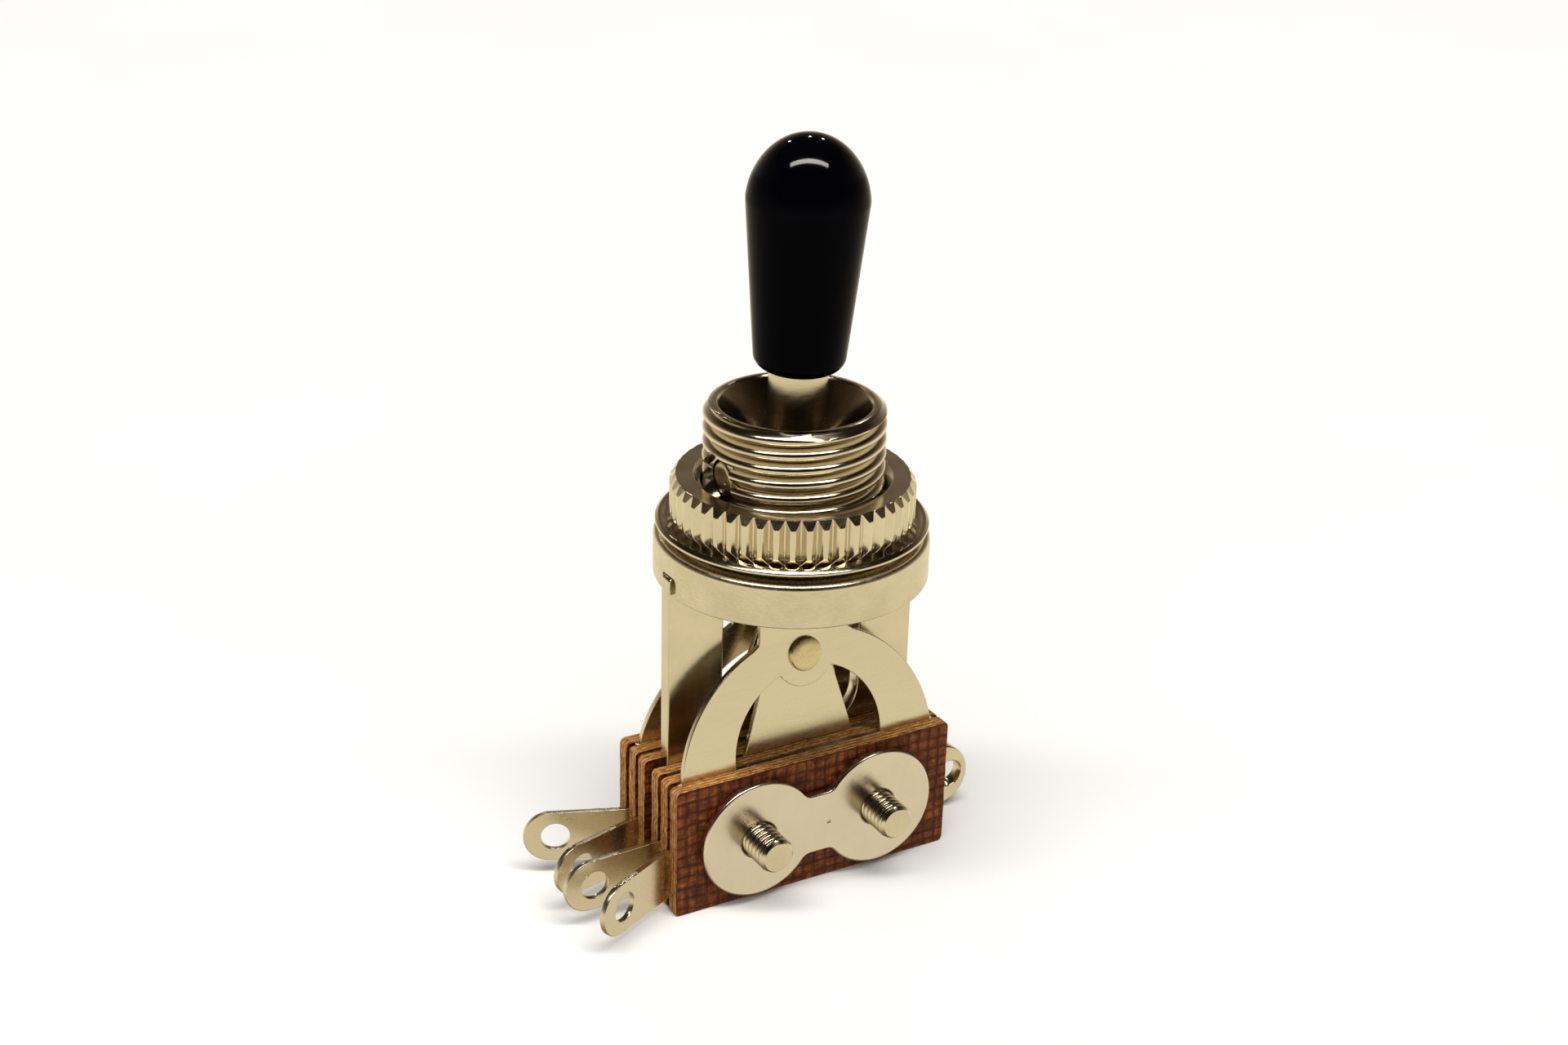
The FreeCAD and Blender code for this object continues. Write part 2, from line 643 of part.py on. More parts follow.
def make_inner_leaf(side, sign):
    """A short leaf: clamped plate, solder lug and a tapered blade with a round top that carries a contact."""
    body = new_body(f"{side}_inner_leaf")
    half = size("leaf_thickness") / 2
    bottom, bend, top = size("leaf_plate_bottom"), size("board_top"), size("contact_height")
    crown = size("inner_leaf_radius")
    lean = -tangent(size("inner_leaf_lean")) * sign
    inward = lean * (top + crown - bend)
    edge_view = new_sketch(body, "YZ_Plane")
    draw_loop(edge_view, [
        (half, bottom),
        (half, bend),
        (inward + half, top + crown),
        (inward - half, top + crown),
        (-half, bend),
        (-half, bottom),
    ])
    pad(body, edge_view, size("leaf_plate_end") * 2)

    end, foot = size("leaf_plate_end"), size("inner_leaf_foot") / 2
    far = end + OVERSHOOT
    face_view = new_sketch(body, "XZ_Plane")
    draw_rectangle(face_view, -far, bottom - OVERSHOOT, far, top + crown + OVERSHOOT)
    draw_loop(face_view, [
        (-end, bottom),
        (end, bottom),
        (end, bend),
        (foot, bend),
        (crown, top),
        Arc(-crown, top, 0, top),
        (-foot, bend),
        (-end, bend),
    ])
    draw_circle(face_view, 0, top, size("rivet_radius"))
    screw_holes(face_view, size("sleeve_radius") + size("fit_gap"))
    pocket_through(body, face_view)
    add_solder_lug(body, size(f"{side}_inner_lug_angle"))
    place(body, y=INNER_LEAF * sign)


def offset_at_contact(layer, lean, foot):
    """Distance from the axis of a leaning leaf's middle, at the contacts' height."""
    return layer - tangent(lean) * (size("contact_height") - foot)


OUTER_CONTACT = offset_at_contact(OUTER_LEAF, size("outer_leaf_lean"), size("flex_height"))
INNER_CONTACT = offset_at_contact(INNER_LEAF, size("inner_leaf_lean"), size("board_top"))


def make_contact(label, distance, tilt, head_radius, head_height):
    """A contact rivet: a head on one side of its leaf, a shank through it and a domed button on the other.

    It is revolved about Z with the leaf's middle at z = 0 and the button below, then tilted to the leaf's
    normal.
    The two buttons of a pair share the space between their leaves, less the contact gap.
    """
    body = new_body(label)
    half = size("leaf_thickness") / 2
    button = (OUTER_CONTACT - INNER_CONTACT - size("leaf_thickness") - size("contact_gap")) / 2
    dome, edge = size("button_dome"), size("button_radius")
    sag = dome - chord(dome, edge)
    sketch = new_sketch(body, "XZ_Plane")
    draw_loop(sketch, [
        (0, half + head_height),
        (0, -half - button),
        Arc(edge, -half - button + sag, 0, -half - button + dome),
        (edge, -half),
        (size("rivet_radius"), -half),
        (size("rivet_radius"), half),
        (head_radius, half),
        (head_radius - head_height / 2, half + head_height),
    ])
    revolve(body, sketch)
    place(body, y=distance, z=size("contact_height"), tilt=tilt)


def make_clamp_plate():
    """Two discs joined by a waist, with a fillet in each of the four corners."""
    body = new_body("front_clamp_plate")
    radius, half_waist, middle = size("clamp_radius"), size("clamp_waist") / 2, size("screw_height")
    disc = size("screw_spacing") / 2
    corner = disc - chord(radius, half_waist)
    sketch = new_sketch(body, "XZ_Plane")
    draw_loop(sketch, [
        (corner, middle - half_waist),
        Arc(corner, middle + half_waist, disc, middle),
        (-corner, middle + half_waist),
        Arc(-corner, middle - half_waist, -disc, middle),
    ])
    screw_holes(sketch, size("screw_radius") + size("fit_gap"))
    plate = pad(body, sketch, size("clamp_thickness"))
    doc.recompute()
    corners = corner_edges(plate.Shape, corner, middle - half_waist, middle + half_waist)
    fillet(body, plate, corners, size("clamp_fillet"))
    place(body, y=-STACK_FACE - size("clamp_thickness") / 2)


def make_sleeve(label, side):
    """An insulating tube round a screw, between the two cover boards."""
    body = new_body(label)
    sketch = new_sketch(body, "XZ_Plane")
    draw_circle(sketch, 0, 0, size("sleeve_radius"))
    draw_circle(sketch, 0, 0, size("screw_radius") + size("fit_gap"))
    pad(body, sketch, (STACK_FACE - size("board_thickness")) * 2)
    place(body, x=size("screw_spacing") / 2 * side, z=size("screw_height"))


def make_screw(label, side):
    """A slotted screw, revolved about Z with its head up and then laid along Y with its head at the back.

    Its thread is drawn as crests at the real pitch where it stands out of the clamp plate.
    """
    body = new_body(label)
    radius, root_radius = size("screw_radius"), size("screw_root_radius")
    half_crest = size("screw_crest") / 2
    flank = (radius - root_radius) * tangent(size("flank_angle"))
    tooth = half_crest + flank
    head_top = STACK_FACE + size("screw_head_height")
    profile = [(0, -size("screw_end")), (root_radius, -size("screw_end"))]
    for turn in range(int(size("screw_turns").value)):
        crest = size("screw_pitch") * (turn + 0.5) - size("screw_end")
        profile += [
            (root_radius, crest - tooth),
            (radius, crest - half_crest),
            (radius, crest + half_crest),
            (root_radius, crest + tooth),
        ]
    profile += [
        (root_radius, -STACK_FACE - size("clamp_thickness")),
        (radius, -STACK_FACE - size("clamp_thickness")),
        (radius, STACK_FACE),
        (size("screw_head_radius"), STACK_FACE),
        (size("screw_head_radius"), head_top),
        (0, head_top),
    ]
    sketch = new_sketch(body, "XZ_Plane")
    draw_loop(sketch, profile)
    revolve(body, sketch)
    doc.recompute()
    before = body.Shape.Volume
    slot = new_sketch(body, "XY_Plane", above=head_top)
    half_slot = size("screw_slot_width") / 2
    reach = size("screw_head_radius") + OVERLAP
    draw_rectangle(slot, -reach, -half_slot, reach, half_slot)
    cut = add_feature(body, "Pocket", slot)
    cut.setExpression("Length", size("screw_slot_depth").formula)
    doc.recompute()
    if not body.Shape.Volume < before:
        raise RuntimeError("the driver slot cuts nothing")
    place(body, x=size("screw_spacing") / 2 * side, z=size("screw_height"), tilt=-90)


def place_on_lever(body):
    place(body, z=size("pivot_height"), tilt=size("lever_lean"))


def make_lever_rod():
    """The rod, its ball with the pivot pin's hole, and the stem that carries the shoe."""
    body = new_body("lever_rod")
    rod, hub = size("rod_radius"), size("hub_radius")
    stem, stem_end = size("stem_radius"), size("stem_end_radius")
    sketch = new_sketch(body, "XZ_Plane")
    draw_loop(sketch, [
        (0, size("shoe_centre")),
        (stem_end, size("shoe_centre")),
        (stem_end, size("shoe_top")),
        (stem, size("shoe_top")),
        (stem, -chord(hub, stem)),
        Arc(rod, chord(hub, rod), 0, 0),
        (rod, size("tip_bottom")),
        (size("rod_end_radius"), size("tip_bottom")),
        (size("rod_end_radius"), size("rod_end")),
        (0, size("rod_end")),
    ])
    revolve(body, sketch)
    hole = new_sketch(body, "YZ_Plane")
    draw_circle(hole, 0, 0, size("pin_radius") + size("pin_gap"))
    pocket_through(body, hole)
    place_on_lever(body)


def make_lever_shoe():
    """The insulating cap on the stem, with the round end that pushes the leaves."""
    body = new_body("lever_shoe")
    centre, ball, neck = size("shoe_centre"), size("shoe_radius"), size("shoe_neck_radius")
    sketch = new_sketch(body, "XZ_Plane")
    draw_loop(sketch, [
        (size("stem_end_radius"), size("shoe_top")),
        (size("stem_end_radius"), centre),
        (0, centre),
        (0, centre - ball),
        Arc(neck, centre + chord(ball, neck), 0, centre),
        (neck, size("shoe_top")),
    ])
    revolve(body, sketch)
    place_on_lever(body)


def make_lever_tip():
    """A moulded cone with a domed top and a rounded lower end, over the end of the rod."""
    body = new_body("lever_tip")
    radius, crease, top = size("tip_radius"), size("tip_crease"), size("tip_top")
    neck, edge, bottom = size("tip_neck_radius"), size("tip_edge_radius"), size("tip_bottom")
    dome_centre = (top * top - crease * crease - radius * radius) / ((top - crease) * 2)
    sketch = new_sketch(body, "XZ_Plane")
    draw_loop(sketch, [
        (size("rod_end_radius"), bottom),
        (neck - edge, bottom),
        Arc(neck, bottom + edge, neck - edge, bottom + edge),
        (radius, crease),
        Arc(0, top, 0, dome_centre),
        (0, size("tip_socket")),
        (size("rod_end_radius"), size("tip_socket")),
    ])
    revolve(body, sketch)
    place_on_lever(body)


def make_pivot_pin():
    pin = doc.addObject("Part::Cylinder", "pivot_pin")
    pin.Label = "pivot_pin"
    pin.setExpression("Radius", size("pin_radius").formula)
    pin.setExpression("Height", size("pin_length").formula)
    pin.Placement = FreeCAD.Placement(FreeCAD.Vector(), FreeCAD.Rotation(FreeCAD.Vector(0, 1, 0), 90))
    pin.setExpression("Placement.Base.x", (-size("pin_length") / 2).formula)
    pin.setExpression("Placement.Base.z", size("pivot_height").formula)


def make_stack():
    """The boards, leaves, contacts, sleeves and screws that are clamped below the frame's legs."""
    wide, narrow = size("sleeve_radius") + size("fit_gap"), size("screw_radius") + size("fit_gap")
    outer_lean, inner_lean = size("outer_leaf_lean"), size("inner_leaf_lean")
    for side, sign in SIDES.items():
        make_board(f"{side}_inner_board", INNER_BOARD * sign, wide)
        make_board(f"{side}_middle_board", MIDDLE_BOARD * sign, wide)
        make_board(f"{side}_cover_board", COVER_BOARD * sign, narrow)
        make_inner_leaf(side, sign)
        make_outer_terminal(side, sign)
        make_outer_blade(side, sign)
        make_contact(
            f"{side}_outer_contact", OUTER_CONTACT * sign, (outer_lean - 90) * sign,
            size("rivet_head_radius"), size("rivet_head_height"),
        )
        make_contact(
            f"{side}_inner_contact", INNER_CONTACT * sign, (inner_lean + 90) * sign,
            size("button_radius"), size("rivet_tail_height"),
        )
    for side, sign in SCREW_SIDES.items():
        make_sleeve(f"{side}_screw_sleeve", sign)
        make_screw(f"{side}_clamp_screw", sign)
    make_clamp_plate()


def check_and_export():
    """Writes each sub-part to parts/, once every object and shape is sound."""
    doc.recompute()
    for item in doc.Objects:
        if "Invalid" in item.State or "Error" in item.State:
            raise RuntimeError(f"{item.Label} failed: {item.State}")
    pieces = [item for item in doc.Objects if item.TypeId in ("PartDesign::Body", "Part::Cylinder")]
    for piece in pieces:
        if piece.Shape.isNull() or not piece.Shape.isValid():
            raise RuntimeError(f"{piece.Label} has no sound shape")
    os.makedirs("parts", exist_ok=True)
    for piece in pieces:
        piece.Shape.exportStep(f"parts/{piece.Label}.step")


fill_sheet()
make_bushing()
make_collar()
make_washer()
make_nut()
make_frame()
make_stack()
make_lever_rod()
make_lever_shoe()
make_lever_tip()
make_pivot_pin()
check_and_export()
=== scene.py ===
import math

import bmesh
import bpy
from mathutils import Matrix, Vector, noise


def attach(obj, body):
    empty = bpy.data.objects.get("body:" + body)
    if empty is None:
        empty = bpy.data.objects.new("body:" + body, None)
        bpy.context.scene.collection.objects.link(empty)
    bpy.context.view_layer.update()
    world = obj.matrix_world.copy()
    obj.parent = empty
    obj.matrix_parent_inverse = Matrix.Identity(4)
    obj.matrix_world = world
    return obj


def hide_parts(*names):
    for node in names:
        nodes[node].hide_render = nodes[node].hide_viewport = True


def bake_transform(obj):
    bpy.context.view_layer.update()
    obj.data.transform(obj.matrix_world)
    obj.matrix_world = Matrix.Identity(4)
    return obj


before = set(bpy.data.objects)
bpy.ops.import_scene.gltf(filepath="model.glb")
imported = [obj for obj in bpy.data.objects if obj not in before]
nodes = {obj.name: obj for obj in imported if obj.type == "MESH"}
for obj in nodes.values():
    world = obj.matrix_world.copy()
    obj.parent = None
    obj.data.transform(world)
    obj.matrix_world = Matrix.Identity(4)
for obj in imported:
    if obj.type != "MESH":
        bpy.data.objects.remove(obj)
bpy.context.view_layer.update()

# Pieces are drawn in millimetres, in the frame of the CAD model, and each mesh is scaled to metres when it
# is made. Only the sizes of lights, the camera's clipping and subsurface light are given in metres.
MM = 0.001
SIDES = {"front": -1, "back": 1}

# Layers of the stack, by the distance of each one's middle from the frame's.
BOARD, LEAF, PLATE = 0.95, 0.4, 1.05
LAYERS = {"inner": 1.0, "middle": 2.35, "cover": 3.7}
INNER_LEAF, OUTER_LEAF, STACK_FACE = 1.675, 3.025, 4.175
BOARD_TOP, BOARD_BOTTOM, HALF_BOARD = -15.6, -25.1, 10.6
SCREW_X, SCREW_Z = 4.65, -20.4
# Radii of holes: round a screw's sleeve, on a screw, in a solder lug, and for a rivet's shank.
SLEEVE_HOLE, SCREW_HOLE, WIRE_HOLE, RIVET_HOLE = 1.82, 1.27, 1.0, 0.66
PIVOT_Z, LEVER_LEAN = 4.2, math.radians(2.6)
# These take a part turned about Z to the pivot, laid along the pin or leaned as the lever is.
ALONG_PIN = Matrix.Translation((0, 0, PIVOT_Z)) @ Matrix.Rotation(math.radians(90), 4, "Y")
ALONG_LEVER = Matrix.Translation((0, 0, PIVOT_Z)) @ Matrix.Rotation(LEVER_LEAN, 4, "X")

# Vertices nearer than WELD are one, and a radius under AXIS is a point on the axis.
WELD, AXIS = 1e-5, 1e-6
# Sockets of a Mix node that mixes colours.
MIX_FACTOR, MIX_FIRST, MIX_SECOND, MIX_RESULT = 0, 6, 7, 2


# ---------------------------------------------------------------- meshes

def finish_piece(name, bm, body, replaced, materials, sharp=35, tilt=None, weighted=True):
    """Turns a bmesh in millimetres into a named piece that rides on a body and stands for its CAD nodes."""
    if tilt is not None:
        bmesh.ops.transform(bm, matrix=tilt, verts=bm.verts)
    bmesh.ops.remove_doubles(bm, verts=bm.verts, dist=WELD)
    bmesh.ops.recalc_face_normals(bm, faces=bm.faces)
    bmesh.ops.scale(bm, vec=(MM, MM, MM), verts=bm.verts)
    mesh = bpy.data.meshes.new(name)
    bm.to_mesh(mesh)
    bm.free()
    mesh.shade_smooth()
    mesh.set_sharp_from_angle(angle=math.radians(sharp))
    piece = bpy.data.objects.new(name, mesh)
    bpy.context.scene.collection.objects.link(piece)
    for material in materials:
        mesh.materials.append(material)
    if weighted:
        normals = piece.modifiers.new("normals", "WEIGHTED_NORMAL")
        normals.keep_sharp = True
        normals.weight = 80
    if body:
        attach(piece, body)
    if replaced:
        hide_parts(*replaced)
    return piece


def rounded(corners, steps=5):
    """A polyline through (x, y, radius) corners, with an arc at each corner whose radius isn't 0."""
    points = []
    for index, (x, y, radius) in enumerate(corners):
        here = Vector((x, y))
        if radius == 0 or index in (0, len(corners) - 1):
            points.append(here)
            continue
        before = (Vector(corners[index - 1][:2]) - here).normalized()
        after = (Vector(corners[index + 1][:2]) - here).normalized()
        half = before.angle(after) / 2
        reach = radius / math.tan(half)
        centre = here + (before + after).normalized() * (radius / math.sin(half))
        start, end = here + before * reach - centre, here + after * reach - centre
        turn = start.angle_signed(end)
        for step in range(steps + 1):
            angle = -turn * step / steps
            points.append(centre + Matrix.Rotation(angle, 2) @ start)
    return points


def lathe(profile, segments=128, wobble=None):
    """A bmesh turned about Z from (radius, height) points.

    wobble(radius, angle, height) may change a radius.
    """
    bm = bmesh.new()
    rings = []
    for radius, height in profile:
        if radius < AXIS:
            rings.append([bm.verts.new((0, 0, height))] * segments)
            continue
        ring = []
        for step in range(segments):
            angle = 2 * math.pi * step / segments
            here = wobble(radius, angle, height) if wobble else radius
            ring.append(bm.verts.new((here * math.cos(angle), here * math.sin(angle), height)))
        rings.append(ring)
    for lower, upper in zip(rings, rings[1:]):
        for step in range(segments):
            following = (step + 1) % segments
            corners = [lower[step], lower[following], upper[following], upper[step]]
            unique = list(dict.fromkeys(corners))
            if len(unique) > 2:
                bm.faces.new(unique)
    return bm


def arc(centre_x, centre_y, radius, start, end, steps=24):
    """Points of an arc between two angles in degrees."""
    angles = [math.radians(start + (end - start) * step / steps) for step in range(steps + 1)]
    return [(centre_x + radius * math.cos(a), centre_y + radius * math.sin(a)) for a in angles]


def plate(outline, holes, thickness, bevel=0.06, bevel_steps=2):
    """A plate in the XZ plane, its middle at y = 0, with every edge of its outline and holes rounded."""
    curve = bpy.data.curves.new("outline", "CURVE")
    curve.dimensions = "2D"
    curve.fill_mode = "BOTH"
    curve.extrude = thickness / 2 - bevel
    curve.bevel_depth = bevel
    curve.bevel_resolution = bevel_steps
    curve.offset = -bevel
    for loop in [outline, *holes]:
        spline = curve.splines.new("POLY")
        spline.points.add(len(loop) - 1)
        for point, (x, z) in zip(spline.points, loop):
            point.co = (x, z, 0, 1)
        spline.use_cyclic_u = True
    carrier = bpy.data.objects.new("outline", curve)
    mesh = bpy.data.meshes.new_from_object(carrier)
    bm = bmesh.new()
    bm.from_mesh(mesh)
    bpy.data.objects.remove(carrier)
    bpy.data.curves.remove(curve)
    bpy.data.meshes.remove(mesh)
    bmesh.ops.transform(bm, matrix=Matrix.Rotation(math.radians(90), 4, "X"), verts=bm.verts)
    bmesh.ops.remove_doubles(bm, verts=bm.verts, dist=WELD)
    bmesh.ops.dissolve_limit(
        bm, angle_limit=math.radians(0.5), verts=bm.verts, edges=bm.edges, use_dissolve_boundaries=False
    )
    return bm


def circle(x, z, radius, steps=48):
    return arc(x, z, radius, 0, 360 * (steps - 1) / steps, steps - 1)


def cut_across(bm, axis, places):
    """Adds a loop of vertices across the mesh at each place along an axis, so that it can be bent there."""
    for place in places:
        point = [0, 0, 0]
        point[axis] = place
        normal = [0, 0, 0]
        normal[axis] = 1
        geometry = bm.verts[:] + bm.edges[:] + bm.faces[:]
        bmesh.ops.bisect_plane(bm, geom=geometry, dist=WELD, plane_co=point, plane_no=normal)


def solid(outline, low, high, axis="Y"):
    """A prism from an outline: in the XZ plane along Y, or in the YZ plane along X."""
    bm = bmesh.new()

    def point(u, v, depth):
        return (u, depth, v) if axis == "Y" else (depth, u, v)

    ends = [[bm.verts.new(point(u, v, depth)) for u, v in outline] for depth in (low, high)]
    bm.faces.new(ends[0])
    bm.faces.new(list(reversed(ends[1])))
    count = len(outline)
    for step in range(count):
        following = (step + 1) % count
        bm.faces.new([ends[0][step], ends[1][step], ends[1][following], ends[0][following]])
    bmesh.ops.recalc_face_normals(bm, faces=bm.faces)
    return bm


def subtract(bm, *cutters):
    """The mesh with the cutters taken away from it."""

    def carrier(part):
        bmesh.ops.recalc_face_normals(part, faces=part.faces)
        mesh = bpy.data.meshes.new("carrier")
        part.to_mesh(mesh)
        part.free()
        made = bpy.data.objects.new("carrier", mesh)
        bpy.context.scene.collection.objects.link(made)
        return made

    target = carrier(bm)
    tools = [carrier(cutter) for cutter in cutters]
    for tool in tools:
        modifier = target.modifiers.new("cut", "BOOLEAN")
        modifier.operation = "DIFFERENCE"
        modifier.solver = "EXACT"
        modifier.object = tool
    bpy.context.view_layer.update()
    result = bmesh.new()
    evaluated = target.evaluated_get(bpy.context.evaluated_depsgraph_get())
    result.from_mesh(evaluated.to_mesh())
    for item in [target, *tools]:
        bpy.data.objects.remove(item)
    return result


def soften(piece, width, angle=40, segments=2):
    """Rounds the sharp edges of a piece, ahead of its normals."""
    bevel = piece.modifiers.new("edges", "BEVEL")
    bevel.width = width * MM
    bevel.segments = segments
    bevel.limit_method = "ANGLE"
    bevel.angle_limit = math.radians(angle)
    bevel.miter_outer = "MITER_ARC"
    while piece.modifiers[0] != bevel:
        piece.modifiers.move(piece.modifiers.find(bevel.name), 0)


def thread_radius(distance, crest, root, pitch, flat):
    """Radius at an axial distance from a crest: a rolled, rounded crest between sharp valleys."""
    half = pitch / 2
    away = abs((distance + half) % pitch - half)
    reach = max(0.0, away - flat / 2) / (half - flat / 2)
    return root + (crest - root) * math.cos(math.pi / 2 * reach) ** 0.85


def threaded(
    crest, root, pitch, flat, first_crest, low, high, above, limit, segments, below=(), rows=14
):
    """A body with a right-handed helical thread from low to high.

    above and below are the (radius, height) points that close it at either end. Where below is empty, the
    last point of above joins the thread's lower end. limit(height) holds the radius down, as a chamfer does.
    """
    bm = bmesh.new()
    angles = [2 * math.pi * step / segments for step in range(segments)]
    made = {}

    def on_thread(angle, height):
        away = height - first_crest - pitch * angle / (2 * math.pi)
        radius = min(thread_radius(away, crest, root, pitch, flat), limit(height))
        return bm.verts.new((radius * math.cos(angle), radius * math.sin(angle), height))

    bottom = [on_thread(angle, low) for angle in angles]
    top = [on_thread(angle, high) for angle in angles]
    count = rows * (math.ceil((high - low) / pitch) + 3)
    start = first_crest + pitch * (math.floor((low - first_crest) / pitch) - 1)

    def vertex(step, row):
        lap, phase = divmod(row, rows)
        turn, place = divmod(step, segments)
        height = start + pitch * (lap + phase / rows + angles[place] / (2 * math.pi) + turn)
        if height <= low:
            return bottom[place]
        if height >= high:
            return top[place]
        key = (place, row + rows * turn)
        if key not in made:
            made[key] = on_thread(angles[place], height)
        return made[key]

    def face(*corners):
        unique = list(dict.fromkeys(corners))
        if len(unique) > 2 and not bm.faces.get(unique):
            bm.faces.new(unique)

    def join(ring, following):
        for step in range(segments):
            other = (step + 1) % segments
            face(ring[step], ring[other], following[other], following[step])

    def close(ring, profile):
        for radius, height in profile:
            if radius < AXIS:
                following = [bm.verts.new((0, 0, height))] * segments
            else:
                following = [
                    bm.verts.new((radius * math.cos(a), radius * math.sin(a), height)) for a in angles
                ]
            join(ring, following)
            ring = following
        return ring

    for step in range(segments):
        for row in range(count - 1):
            face(vertex(step, row), vertex(step + 1, row), vertex(step + 1, row + 1), vertex(step, row + 1))
    last = close(top, above)
    if below:
        close(bottom, below)
    else:
        join(last, bottom)
    bmesh.ops.recalc_face_normals(bm, faces=bm.faces)
    return bm


def bend_strip(bm, beyond, angle, radius):
    """Bends what lies beyond x = -beyond about a vertical line, by an angle that is positive towards -Y."""
    length = abs(angle) * radius
    start = beyond - radius * math.tan(abs(angle) / 2)
    turn = math.copysign(1, angle)
    cut_across(bm, 0, [-(start + length * step / 6) for step in range(7)])
    for vert in bm.verts:
        along = -vert.co.x - start
        if along <= 0:
            continue
        sweep = min(along / length, 1) * abs(angle)
        depth = -vert.co.y * turn
        rest = max(along - length, 0)
        forward = (radius - depth) * math.sin(sweep) + rest * math.cos(sweep)
        aside = radius - (radius - depth) * math.cos(sweep) + rest * math.sin(sweep)
        vert.co.x = -(start + forward)
        vert.co.y = -aside * turn


def lean_strip(bm, steps, radius=0.7):
    """Moves a strip sideways by height.

    steps are (height, slope above it) pairs, eased over a radius each side.
    """
    for height, _ in steps:
        cut_across(bm, 2, [height + radius * part / 4 for part in range(-4, 5)])
    for vert in bm.verts:
        slope = 0
        for height, above in steps:
            change = above - slope
            over = vert.co.z - height
            if over > radius:
                vert.co.y += change * over
            elif over > -radius:
                vert.co.y += change * (over + radius) ** 2 / (4 * radius)
            slope = above


# ---------------------------------------------------------------- materials

class Shader:
    """Builds one material's node tree, with its coordinates in millimetres of the object's own frame."""

    def __init__(self, name):
        self.material = bpy.data.materials.new(name)
        self.material.use_nodes = True
        self.tree = self.material.node_tree
        self.surface = self.tree.nodes["Principled BSDF"]
        where = self.tree.nodes.new("ShaderNodeTexCoord")
        scale = self.tree.nodes.new("ShaderNodeMapping")
        scale.inputs["Scale"].default_value = (1 / MM, 1 / MM, 1 / MM)
        self.link(where.outputs["Object"], scale.inputs["Vector"])
        self.place = scale.outputs["Vector"]

    def link(self, output, socket):
        self.tree.links.new(output, socket)

    def settings(self, **values):
        for socket, value in values.items():
            self.surface.inputs[socket.replace("_", " ")].default_value = value

    def math(self, operation, first, second=0.0):
        node = self.tree.nodes.new("ShaderNodeMath")
        node.operation = operation
        for socket, value in zip(node.inputs, (first, second)):
            if isinstance(value, bpy.types.NodeSocket):
                self.link(value, socket)
            else:
                socket.default_value = value
        return node.outputs[0]

    def stretched(self, x, y, z):
        node = self.tree.nodes.new("ShaderNodeMapping")
        node.inputs["Scale"].default_value = (x, y, z)
        self.link(self.place, node.inputs["Vector"])
        return node.outputs["Vector"]

    def noise(self, scale, detail=3.0, vector=None, roughness=0.5):
        node = self.tree.nodes.new("ShaderNodeTexNoise")
        node.inputs["Scale"].default_value = scale
        node.inputs["Detail"].default_value = detail
        node.inputs["Roughness"].default_value = roughness
        self.link(vector or self.place, node.inputs["Vector"])
        return node.outputs["Fac"]

    def spots(self, scale):
        node = self.tree.nodes.new("ShaderNodeTexVoronoi")
        node.inputs["Scale"].default_value = scale
        self.link(self.place, node.inputs["Vector"])
        return node.outputs["Distance"]

    def ramp(self, value, *stops):
        node = self.tree.nodes.new("ShaderNodeValToRGB")
        ramp = node.color_ramp
        while len(ramp.elements) < len(stops):
            ramp.elements.new(0.5)
        for element, (position, colour) in zip(ramp.elements, stops):
            element.position = position
            channels = colour if isinstance(colour, tuple) else (colour, colour, colour)
            element.color = (*channels, 1)
        self.link(value, node.inputs["Fac"])
        return node.outputs["Color"]

    def mix(self, factor, first, second, blend="MIX"):
        node = self.tree.nodes.new("ShaderNodeMix")
        node.data_type = "RGBA"
        node.blend_type = blend
        for index, value in ((MIX_FACTOR, factor), (MIX_FIRST, first), (MIX_SECOND, second)):
            if isinstance(value, bpy.types.NodeSocket):
                self.link(value, node.inputs[index])
            else:
                node.inputs[index].default_value = value if index == MIX_FACTOR else (*value, 1)
        return node.outputs[MIX_RESULT]

    def bump(self, height, depth, normal=None):
        node = self.tree.nodes.new("ShaderNodeBump")
        node.inputs["Strength"].default_value = 1
        node.inputs["Distance"].default_value = depth * MM
        self.link(height, node.inputs["Height"])
        if normal:
            self.link(normal, node.inputs["Normal"])
        return node.outputs["Normal"]

    def coordinate(self, axis):
        node = self.tree.nodes.new("ShaderNodeSeparateXYZ")
        self.link(self.place, node.inputs["Vector"])
        return node.outputs[axis]


NICKEL = (0.69, 0.625, 0.50)


def shade(colour, amount):
    return tuple(channel * amount for channel in colour)


def plated(
    name, roughness, colour=NICKEL, mottle=0.06, grain=(1, 1, 1), grain_depth=0.0006, pits=0.0, pit_scale=2.2
):
    """Nickel plate: a slow drift of tone and gloss, the grain of the strip or the lathe, and sparse pits.

    grain stretches the fine noise: it is small along an axis where the grain runs.
    """
    made = Shader(name)
    drift = made.noise(0.45, 4, roughness=0.6)
    fine = made.noise(5, 3, vector=made.stretched(*grain))
    tone = made.ramp(drift, (0.3, shade(colour, 1 - mottle)), (0.7, shade(colour, 1 + mottle / 2)))
    if pits:
        speck = made.ramp(made.spots(pit_scale), (0.03, 1.0), (0.12, 0.0))
        sparse = made.ramp(made.noise(0.9, 2), (0.52, 0.0), (0.6, 1.0))
        pitted = made.math("MULTIPLY", made.math("MULTIPLY", speck, sparse), pits)
        tone = made.mix(pitted, tone, shade(colour, 0.35))
    made.link(tone, made.surface.inputs["Base Color"])
    gloss = made.ramp(fine, (0.35, roughness[0]), (0.65, roughness[1]))
    worn = made.ramp(drift, (0.35, 0.0), (0.75, 0.05))
    made.link(made.math("ADD", gloss, worn), made.surface.inputs["Roughness"])
    rolled = made.bump(fine, grain_depth)
    made.link(made.bump(drift, grain_depth * 4, rolled), made.surface.inputs["Normal"])
    made.settings(Metallic=1.0)
    return made.material


